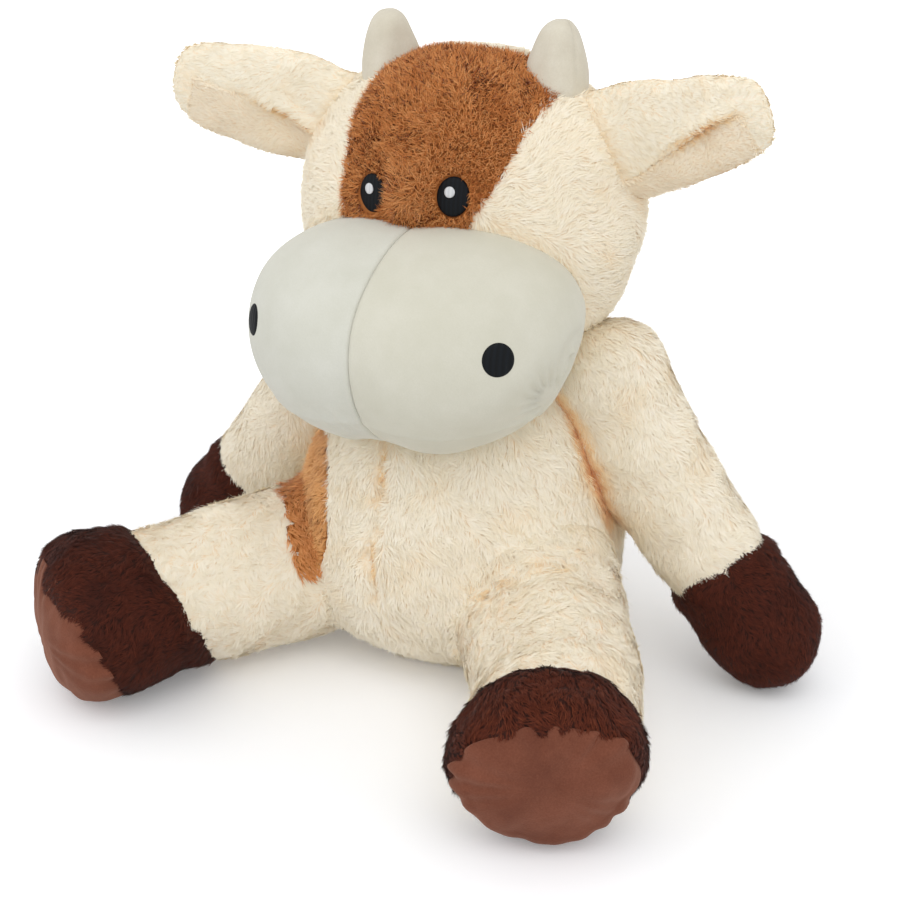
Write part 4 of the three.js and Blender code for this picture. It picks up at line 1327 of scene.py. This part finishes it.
@dataclass
class Ears:
    """Leaf-shaped ears: long pile outside, folded over a smoother lining."""

    shop: Workshop
    coat: Coat = Coat(length=6.5, lean=82.0, fall=89.5, lift=1.5, twist=3.0, stray=12.0, swirl=24.0, loose=0.0,
                      relief=0.06, own=0.85, tone=0.66, streaks=0.02, blotch=0.06)
    nap: Coat = Coat(per_cm2=150.0, length=4.5, width=0.7, lean=80.0, fall=89.0, lift=2.0, twist=4.0, tuft=2.4,
                     relief=0.06, own=0.7, blotch=0.05)
    fold_depth: float = 5.0
    lip: float = 1.8  # how high the pile is rolled along the fold's edge
    bends_over: float = 42.0  # the length at the root that would bend when the ear swings
    folds: dict[Side, EarFold] = field(default_factory=lambda: {
        Side.LEFT: EarFold(0.4, 0.72, 0.92, ((0.3, 0.55, 0.75, 0.92), (0.5, 0.2, -0.08, -0.15)), 11.0, 8.0),
        Side.RIGHT: EarFold(0.14, 0.36, 0.74, ((0.2, 0.4, 0.65, 0.9), (0.5, 0.1, -0.15, -0.3)), 2.5, 3.0),
    })

    @staticmethod
    def raise_tip(form: Form, fold: EarFold, points: Array, sign: float) -> Array:
        """Points lifted towards the ear's tip, or let down again with a sign of -1."""
        share = smooth(form.share_along(points), 0.3, 1.1)
        return points + sign * share[:, None] * (fold.raised * AXIS_Z + fold.longer * form.heading())

    def place(self, form: Form, fold: EarFold, points: Array) -> tuple[Array, Array, Array]:
        """Where points lie on the ear: the share along it, the place across it, and how much in its lining."""
        local = form.to_local(self.raise_tip(form, fold, points, -1.0))
        along = (local[:, 2] - form.root) / form.length
        rows = np.array(form.rows)
        across = local[:, 0] / (form.side * np.maximum(np.interp(along, rows[:, 0], rows[:, 1]), 0.1))
        below = fold.below(along, across)
        lined = smooth(below, -0.02, 0.08) * smooth(along, 0.12, 0.2) * (1 - smooth(across, 0.86, 0.97))
        return along, across, lined * (1 - smooth(along, 0.84, 0.93)) * (local[:, 1] < 4.0)

    def build(self) -> None:
        """Makes both ears."""
        for side in Side:
            self.ear(side)

    def ear(self, side: Side) -> None:
        """Makes one ear's skin, pile, lining and nap."""
        shop, form, fold = self.shop, self.shop.shapes.ears[side], self.folds[side]
        skin, lined = self.skin(side)
        lining = self.lining(side, skin, lined)
        pile = self.outer_pile(side, skin)
        front = -form.turn(AXIS_Y)
        roots = Roots.on(lining, self.nap.per_cm2, 14)
        roots = roots.where(roots.normals @ front > -0.25)
        along, across, _ = self.place(form, fold, roots.points)
        tucked = np.exp(-((fold.below(along, across) / 0.12) ** 2)) * fold.depth(along)
        nap = Strands(f"ear_{side.value}_lining_nap", roots, self.nap, everywhere(form.heading(), roots.points), 44,
                      shade=-0.65 * tucked).build()
        shop.dress(nap, LINING_PILE)
        pivot = EAR_PIVOT * [side.sign, 1, 1]
        bend = ("head", f"ear_{side.value}", pivot, pivot + self.bends_over * form.heading())
        for piece, slot, node_name, padding in (
            (skin, Slot.CREAM, "outer", 0.4), (pile, Slot.CREAM, "outer", 0.0),
            (lining, Slot.LINING, "lining", 0.0), (nap, Slot.LINING, "lining", 0.0),
        ):
            shop.settle(piece, slot, [f"ear_{side.value}_{node_name}"], bend=bend, padding=padding)

    def skin(self, side: Side) -> tuple[bpy.types.Object, Array]:
        """One ear's skin, dished and lipped along its fold, and how much of each point is under the lining."""
        shop, form, fold = self.shop, self.shop.shapes.ears[side], self.folds[side]
        front = -form.turn(AXIS_Y)
        skin = stuffed(f"ear_{side.value}_fabric", form, 128, 96, PILE_INSET)
        points = coordinates(skin)
        ahead = smooth(normals_of(skin) @ front, -0.3, 0.3)
        points = self.raise_tip(form, fold, points, 1.0)
        along, across, lined = self.place(form, fold, points)
        below = fold.below(along, across)
        dish = self.fold_depth * smooth(below, -0.02, 0.06) * (1 - smooth(below, 0.06, 0.85))
        lip = self.lip * np.exp(-(((below + 0.12) / 0.14) ** 2))
        points += front * ((lip - dish) * fold.depth(along) * ahead)[:, None]
        flare = 0.5 * waves(points, 30.0, 46) + shop.shapes.fillet(points, [shop.shapes.head], 20.0)
        set_coordinates(skin, points + normals_of(skin) * flare[:, None])
        shop.dress(skin, CREAM_KNIT)
        return skin, lined

    def outer_pile(self, side: Side, skin: bpy.types.Object) -> bpy.types.Object:
        """The pile of one ear's back, of its folded half and of its rim."""
        shop, form, fold = self.shop, self.shop.shapes.ears[side], self.folds[side]
        roots = Roots.on(skin, self.coat.per_cm2, 13)
        along, across, lined = self.place(form, fold, roots.points)
        in_head = shop.shapes.head.depth(roots.points)
        facing = roots.normals @ -form.turn(AXIS_Y)
        edge = np.exp(-(((fold.below(along, across) + 0.02) / 0.06) ** 2)) * fold.depth(along) * (facing > 0)
        rim = np.maximum(smooth(along, 0.78, 0.95), smooth(np.abs(across), 0.7, 0.95))
        growth = (1 - 0.4 * lined) * (1 - 0.4 * edge) * (1 - 0.5 * rim)
        shade = -0.12 * smooth(in_head, -12.0, 2.0) - 0.5 * edge
        keep = ~((lined > 0.5) & (facing > -0.2)) & (in_head < 6.0)
        comb = everywhere(form.heading() + [0, 0, -0.25], roots.points)
        pile = Strands(f"ear_{side.value}_outer_pile", roots.where(keep), self.coat, comb[keep], 43, growth[keep],
                       shade[keep]).build()
        shop.dress(pile, EAR_CREAM)
        return pile

    def lining(self, side: Side, skin: bpy.types.Object, lined: Array) -> bpy.types.Object:
        """The lining sheet, laid on the lower half of the skin's front."""
        lining = skin.copy()
        lining.data = skin.data.copy()
        lining.name = lining.data.name = f"ear_{side.value}_lining_velboa"
        bpy.context.scene.collection.objects.link(lining)
        work = bmesh.new()
        work.from_mesh(lining.data)
        work.verts.ensure_lookup_table()
        shut = [f for f in work.faces if min(lined[v.index] for v in f.verts) < 0.35]
        bmesh.ops.delete(work, geom=shut, context="FACES")
        work.to_mesh(lining.data)
        work.free()
        set_coordinates(lining, coordinates(lining) + normals_of(lining) * 0.7)
        thicken(lining, 1.6)
        lining.data.materials.clear()
        self.shop.dress(lining, LINING_VELBOA)
        return lining


@dataclass
class Limb:
    """One arm or leg: a cream sleeve and a brown hoof over one stuffed form, and a leg's smooth sole."""

    shop: Workshop
    kind: str  # arm or leg
    side: Side
    sleeve: Coat = Coat(length=8.0)
    leg_sleeve: Coat = Coat(length=7.5, lean=76.0, fall=88.5, lift=2.5, swirl=75.0, relief=0.07)
    hoof: Coat = Coat(per_cm2=160.0, length=5.5, width=0.6, lean=62.0, fall=85.0, lift=4.0, twist=7.0, tuft=3.2,
                      gather=0.6, stray=14.0, swirl=34.0, loose=0.0, relief=0.2, own=0.6, tone=0.2, streaks=0.1,
                      blotch=0.22)
    lit_hoof: float = 0.26  # how much paler the left foot's pile is painted: a painted highlight on that hoof
    slim: float = 3.0  # how much narrower the left foot is than the model's
    low: float = 5.0  # and how much lower its top is
    shoulder: dict[Side, float] = field(default_factory=lambda: {Side.LEFT: 22.0, Side.RIGHT: 12.0})  # how high each is
    pinch: float = 19.0  # how far the right arm's inner side is drawn in
    hem: float = 10.0  # how far up the right leg's root the flank patch reaches
    ankle: float = 8.0  # how far the left leg bends outwards above its hoof
    ridges: float = 1.2  # how high the ridges stand in the rumpled pile over the left leg's root
    hoof_line: dict[str, tuple[float, float]] = field(default_factory=lambda: {
        "arm_left": (0.618, 0.0), "arm_right": (0.637, 0.0), "leg_left": (0.768, 0.0), "leg_right": (0.63, 0.1),
    })  # the share along the limb where the hoof is sewn on, and how much nearer the body that is underneath
    overhang: dict[Side, float] = field(default_factory=lambda: {Side.LEFT: 6.5, Side.RIGHT: 9.0})  # over the sole
    step: float = 4.0  # how far the skin is drawn in below the sole's rim
    sole_share: float = 0.897
    sole_tilt: float = 20.0

    @property
    def name(self) -> str:
        """The limb's name, which is its body's too."""
        return f"{self.kind}_{self.side.value}"

    @property
    def form(self) -> Form:
        """The limb's form."""
        shapes = self.shop.shapes
        return (shapes.arms if self.kind == "arm" else shapes.legs)[self.side]

    def sole_plane(self) -> tuple[Array, Array]:
        """A point of the sole's seam and the way that the sole faces, in the form's own axes."""
        tilt, along = math.radians(self.sole_tilt), self.form.root + self.sole_share * self.form.length
        return along * AXIS_Z, np.array([0, math.sin(tilt), math.cos(tilt)])

    def past_sole(self, points: Array) -> Array:
        """How far past the sole's seam points lie, in millimetres. An arm has none, so that is far off."""
        if self.kind == "arm":
            return np.full(len(points), -99.0)
        point, facing = self.sole_plane()
        return (self.form.to_local(points) - point) @ facing

    def over_sole(self, points: Array) -> Array:
        """How far the hoof's pile lies over the upper part of the sole, in millimetres."""
        return self.overhang[self.side] * smooth(-self.form.to_local(points)[:, 1], 0.0, 30.0)

    def foot(self, points: Array, normals: Array) -> Array:
        """How much smaller the left foot is than the model's, as its sole is drawn in and up."""
        form = self.form
        if self.side is Side.RIGHT:
            return np.zeros(len(points))
        up, ahead = -(normals @ form.turn(AXIS_Y)), np.clip(normals @ form.heading(), 0, 1)
        outer = np.clip(-(normals @ form.turn(AXIS_X)), 0, 1)
        drawn = (self.low * np.clip(up, 0, 1) + self.slim * outer) * (1 - ahead)
        drawn += ahead * (5.0 + 5.0 * smooth(form.to_local(points)[:, 1], -10, 40))
        return -drawn * smooth(form.share_along(points), 0.66, 0.8)

    def pinched(self, points: Array, normals: Array) -> Array:
        """How far the right arm's inner side is drawn in, as a negative distance."""
        share = self.form.share_along(points)
        held = smooth(share, 0.12, 0.35) * (1 - smooth(share, 0.57, 0.72))
        return -self.pinch * held * smooth(normals @ PICTURE_RIGHT, 0.1, 0.95)

    def on_patch(self, points: Array) -> Array:
        """Whether points of the skin belong to the flank patch, which reaches up the right leg's root."""
        if self.name != "leg_right":
            return np.zeros(len(points), bool)
        patch = Panels(self.shop.frame, TORSO_NODES).of(points) == TORSO_NODES.index("flank_patch")
        return patch & (self.shop.shapes.torso.depth(points) > -self.hem + 1.5 * waves(points, 14.0, 54))

    def past_seam(self, points: Array) -> Array:
        """How far past the hoof's seam points lie, in millimetres."""
        form, (line, slant) = self.form, self.hoof_line[self.name]
        share = form.share_along(points) - line + slant * form.to_local(points)[:, 1] / form.back
        return share * form.length + 1.6 * waves(points, 26.0, 53)

    def leg_bulge(self, points: Array, normals: Array) -> Array:
        """A leg's fuller thigh, its run into the body, the step at its sole, and the left one's ankle."""
        shapes, form = self.shop.shapes, self.form
        swell = shapes.swell(self.side, points)
        bulge = shapes.joined(self.side, points + normals * swell[:, None], normals)
        bulge += swell + self.foot(points, normals)
        bulge -= self.step * smooth(self.past_sole(points) - self.over_sole(points), -3.0, 3.0)
        if self.side is Side.LEFT:
            ankle = np.exp(-(((form.share_along(points) - 0.6) / 0.17) ** 2))
            bulge -= self.ankle * ankle * (normals @ form.turn(AXIS_X))
            bulge += self.ridges * shapes.marks(points)
        return bulge

    def arm_bulge(self, points: Array, normals: Array) -> Array:
        """An arm's run into the body, its fuller shoulder, and how the right one is drawn in."""
        bulge = self.shop.shapes.fillet(points, [self.shop.shapes.torso], 8.0)
        up = smooth(normals @ unit(np.array([-0.45 * self.side.sign, 0.0, 1.0])), 0.1, 0.95)
        bulge += self.shoulder[self.side] * up * (1 - smooth(self.form.share_along(points), 0.04, 0.36))
        return bulge + self.pinched(points, normals) if self.side is Side.RIGHT else bulge

    def sculpt(self, points: Array, normals: Array) -> Array:
        """The fill's lumps and bulges, and the seam where the hoof is sewn on."""
        past = self.past_seam(points)
        seam = 1.6 * np.exp(-((past / 3.5) ** 2))
        roll = 1.8 * np.exp(-(((past - 8.0) / 7.0) ** 2))
        bulge = self.leg_bulge(points, normals) if self.kind == "leg" else self.arm_bulge(points, normals)
        return 0.7 * waves(points, 36.0, 51) + 0.3 * waves(points, 12.0, 52) - seam + roll + bulge

    def build(self) -> None:
        """Makes the limb's skin, its fill where the skin sinks below the model's, its piles and a leg's sole."""
        shop, form = self.shop, self.form
        skin = stuffed(f"{self.name}_fabric", form, 96, 88, PILE_INSET, self.sculpt)
        drawn_in = {"leg_left": self.foot, "arm_right": self.pinched}.get(self.name)
        if drawn_in is not None:
            shop.fill(self.name, [form], self.name, drawn_in)
        shop.dress(skin, CREAM_KNIT, BROWN_KNIT, TAN_KNIT)
        centres = face_centres(skin)
        knit = np.where(self.on_patch(centres), 2, self.past_seam(centres) > 0)
        skin.data.polygons.foreach_set("material_index", knit.astype(np.int32))
        pivot = form.to_frame(np.zeros(3))
        bend = ("torso", self.name, pivot - 6 * form.heading(), pivot + 44 * form.heading())
        self.piles(skin, bend)
        shop.settle(skin, Slot.CREAM, [f"{self.name}_cover", f"{self.name}_hoof"], bend=bend, padding=0.7)
        if self.kind == "leg":
            self.sole()

    def piles(self, skin: bpy.types.Object, bend: Bend) -> None:
        """Makes the piles of the sleeve and the hoof, and the flank patch's hem.

        Args:
            skin: The limb's skin.
            bend: What the piles would bend between.
        """
        shop, shapes, leg = self.shop, self.shop.shapes, self.kind == "leg"
        roots = Roots.on(skin, self.hoof.per_cm2, 15)
        inside = shapes.near(roots.points, [shapes.torso, (shapes.arms if leg else shapes.legs)[self.side]])
        beyond = self.past_sole(roots.points)
        keep = (inside < 6.0) & (beyond < 0.5 + self.over_sole(roots.points))
        roots, inside, beyond = roots.where(keep), inside[keep], beyond[keep]
        past, hem = self.past_seam(roots.points), self.on_patch(roots.points)
        rng = np.random.default_rng(7)
        if hem.any():
            some = roots.where(thinned(rng, hem, FLANK_PILE, self.hoof))
            flow = everywhere(DOWN_THE_BODY, some.points)
            shop.pile(Strands("flank_patch_hem_pile", some, FLANK_PILE, flow, 62), TAN, "flank_patch", bend=bend)
        for index, part in enumerate(("cover", "hoof")):
            brown = part == "hoof"
            coat = self.hoof if brown else self.leg_sleeve if leg else self.sleeve
            chosen = thinned(rng, ((past > 0) == brown) & ~hem, coat, self.hoof)
            some = roots.where(chosen)
            comb = everywhere(self.form.heading() + [0, 0, -0.3], some.points)
            by_body = smooth(inside[chosen], -12.0, 3.0)
            # Painted shade where the limb meets the body.
            shade = -(0.04 if leg else 0.55) * by_body * front_crease_shade(some.points)
            if self.name == "leg_left":
                comb += shapes.rumpled(some.points)[:, None] * ruffle(some.points)
                shade += self.lit_hoof * brown - shapes.rumple_shade(some.points)
            growth = 1 - 0.3 * (smooth(beyond[chosen], -8.0, 0.0) if brown else smooth(past[chosen], -9.0, 0.0))
            if not leg:
                growth *= 1 - 0.35 * by_body
            strands = Strands(f"{self.name}_{part}_pile", some, coat, comb, 60 + index, growth, shade)
            shop.pile(strands, BROWN if brown else CREAM, f"{self.name}_{part}", bend=bend)

    def sole_sculpt(self, points: Array, normals: Array) -> Array:
        """The puckers of the sole's gathered rim, and its slight lumps."""
        local = self.form.to_local(points)
        round_it = np.arctan2(local[:, 0], -local[:, 1])
        rim = np.exp(-np.maximum(self.past_sole(points), 0) / 13.0)
        pucker = np.sin(15 * round_it + 2.6 * np.sin(3 * round_it + 1)) * (0.6 + 0.4 * np.sin(5 * round_it))
        pucker *= smooth(np.hypot(local[:, 0], local[:, 1]), 12, 34)
        drawn = rim * (2.3 * pucker - 2.6) + self.foot(points, normals)
        return drawn + 0.9 * waves(points, 44.0, 71) + 0.3 * waves(points, 14.0, 72)

    def sole(self) -> None:
        """Makes a leg's smooth sole, puckered along its rim."""
        point, facing = self.sole_plane()
        sole = stuffed(f"{self.name}_sole_velboa", self.form, 144, 160, 0.6, self.sole_sculpt)
        cut_at(sole, self.form.to_frame(point - facing), self.form.turn(facing))
        self.shop.dress(sole, SOLE_VELBOA)
        self.shop.settle(sole, Slot.SOLE, [f"{self.name}_sole"], self.name, padding=0.8)


@dataclass
class Limbs:
    """The arms and the legs."""

    shop: Workshop

    def build(self) -> None:
        """Makes the four limbs."""
        for side in Side:
            for kind in ("arm", "leg"):
                Limb(self.shop, kind, side).build()


@dataclass
class Tail:
    """A thin cream tube with a brown tuft."""

    shop: Workshop
    stem: Coat = Coat(length=5.0, tuft=2.4)
    tuft: Coat = Coat(per_cm2=160.0, length=15.0, width=0.8, lean=40.0, fall=74.0, tuft=3.4, gather=0.8, tone=0.5)

    def build(self) -> None:
        """Makes the tail's skin and piles."""
        shop, form = self.shop, self.shop.shapes.tail
        nodes = ["tail_stem", "tail_tuft"]
        panels = Panels(shop.frame, nodes)
        skin = stuffed("tail_fabric", form, 40, 56, 3.2)
        shop.back(skin, panels, {"tail_stem": CREAM_KNIT, "tail_tuft": BROWN_KNIT})
        bend = ("torso", "tail", TAIL_PIVOT, TAIL_PIVOT + 26 * form.heading())
        roots = Roots.on(skin, self.tuft.per_cm2, 16)
        roots = roots.where(shop.shapes.torso.depth(roots.points) < 5.0)
        owner = panels.of(roots.points)
        rng = np.random.default_rng(8)
        for index, name in enumerate(nodes):
            coat = self.tuft if index else self.stem
            some = roots.where(thinned(rng, owner == index, coat, self.tuft))
            growth = 1 - 0.45 * smooth(form.share_along(some.points), 0.72, 1.0) if index else None
            comb = everywhere(form.heading() + [0, 0, -0.1], some.points)
            strands = Strands(f"{name}_pile", some, coat, comb, 80 + index, growth)
            shop.pile(strands, BROWN if index else CREAM, name, bend=bend)
        shop.settle(skin, Slot.CREAM, nodes, bend=bend, padding=0.7)


@dataclass
class Studio:
    """A white floor and world, soft lamps and the camera."""

    azimuth: float = 26.7
    elevation: float = 23.2
    distance: float = 900.0
    target: tuple[float, float, float] = (-11.5, 0.0, 114.2)
    lens: float = 58.31

    def camera(self) -> None:
        """Places the camera at the photograph's view."""
        back = Vector(aim(self.azimuth, self.elevation))
        data = bpy.data.cameras.new("camera")
        data.lens, data.sensor_width = self.lens, 36.0
        camera = bpy.data.objects.new("camera", data)
        camera.location = (Vector(self.target) + back * self.distance) * MM
        camera.rotation_mode = "QUATERNION"
        camera.rotation_quaternion = (-back).to_track_quat("-Z", "Y")
        bpy.context.scene.collection.objects.link(camera)
        bpy.context.scene.camera = camera

    @staticmethod
    def lamp(name: str, out: float, rise: float, distance: float, size: float, power: float) -> None:
        """Adds a square soft lamp that faces the cow, at degrees from the front and from the floor."""
        data = bpy.data.lights.new(name, "AREA")
        data.energy, data.size = power, size
        lamp = bpy.data.objects.new(name, data)
        way = Vector(aim(out, rise))
        lamp.location = Vector((0, 0, 0.15)) + way * distance
        lamp.rotation_euler = way.to_track_quat("Z", "Y").to_euler()
        bpy.context.scene.collection.objects.link(lamp)

    @staticmethod
    def world() -> None:
        """A white surround for the camera and an even, softer one for the light."""
        world = bpy.data.worlds.new("studio")
        world.use_nodes = True
        tree = world.node_tree
        tree.nodes.clear()
        path = node(tree, "ShaderNodeLightPath")
        seen = node(tree, "ShaderNodeBackground", Color=(1, 1, 1, 1), Strength=1.0)
        cast = node(tree, "ShaderNodeBackground", Color=(1, 0.995, 0.985, 1), Strength=0.8)
        mix = node(tree, "ShaderNodeMixShader", None, path.outputs["Is Camera Ray"], cast.outputs[0], seen.outputs[0])
        node(tree, "ShaderNodeOutputWorld", Surface=mix.outputs[0])
        bpy.context.scene.world = world

    @staticmethod
    def floor() -> None:
        """A white floor that keeps the soft shadow under the cow."""
        bpy.ops.object.select_all(action="DESELECT")
        bpy.ops.mesh.primitive_plane_add(size=16.0)
        floor = bpy.context.active_object
        floor.name = "studio_floor"
        made, tree = blank("white_paper_sweep")
        shader = node(tree, "ShaderNodeBsdfDiffuse", Color=(0.9, 0.91, 0.935, 1))
        place = node(tree, "ShaderNodeTexCoord").outputs["Object"]
        away = node(tree, "ShaderNodeVectorMath", {"operation": "LENGTH"}, place)
        rise = node(tree, "ShaderNodeMapRange", Value=away.outputs["Value"], From_Min=0.2, From_Max=0.8,
                    To_Min=0.14, To_Max=0.7)
        glow = node(tree, "ShaderNodeEmission", Color=(1, 1, 1, 1), Strength=rise.outputs["Result"])
        path = node(tree, "ShaderNodeLightPath")
        add = node(tree, "ShaderNodeAddShader", None, shader.outputs[0], glow.outputs[0])
        mix = node(tree, "ShaderNodeMixShader", None, path.outputs["Is Camera Ray"], shader.outputs[0], add.outputs[0])
        node(tree, "ShaderNodeOutputMaterial", Surface=mix.outputs[0])
        floor.data.materials.append(made)

    def build(self) -> None:
        """Sets up the whole studio."""
        bpy.context.scene.view_settings.view_transform = "Standard"
        bpy.context.scene.cycles.max_bounces = 24
        bpy.context.scene.cycles.diffuse_bounces = 12  # light goes far between pale strands
        self.camera()
        self.world()
        self.floor()
        self.lamp("key", 40, 52, 2.2, 1.8, 14)
        self.lamp("fill", -45, 35, 2.4, 1.8, 8)


def finish_inner_nodes(shop: Workshop) -> None:
    """Gives the fill and the pellet bag, which stay as they are, their finishes."""
    bag = NapFinish("pellet_bag_cotton", ("#C3C8CC", "#CBD0D3", "#D5D9DB"), brush_mm=12.0, grain_mm=0.7, bump=0.3)
    for name, obj in shop.frame["nodes"].items():
        if obj.hide_render:
            continue
        obj.data.materials.clear()
        shop.dress(obj, bag if "pellet" in name else FIBRE)


def main() -> None:
    """Builds the cow round its frame."""
    logging.basicConfig(level=logging.INFO, format="%(name)s %(message)s")
    for obj in list(bpy.data.objects):
        bpy.data.objects.remove(obj)
    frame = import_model()
    Studio().build()
    shop = Workshop(frame, Shapes.of_the_cow())
    for assembly in (Torso, Head, Muzzle, Eyes, Horns, Ears, Limbs, Tail):
        assembly(shop).build()
    finish_inner_nodes(shop)
    bpy.context.view_layer.update()
    LOG.info("%d pieces", shop.made)


if __name__ == "__main__":
    main()
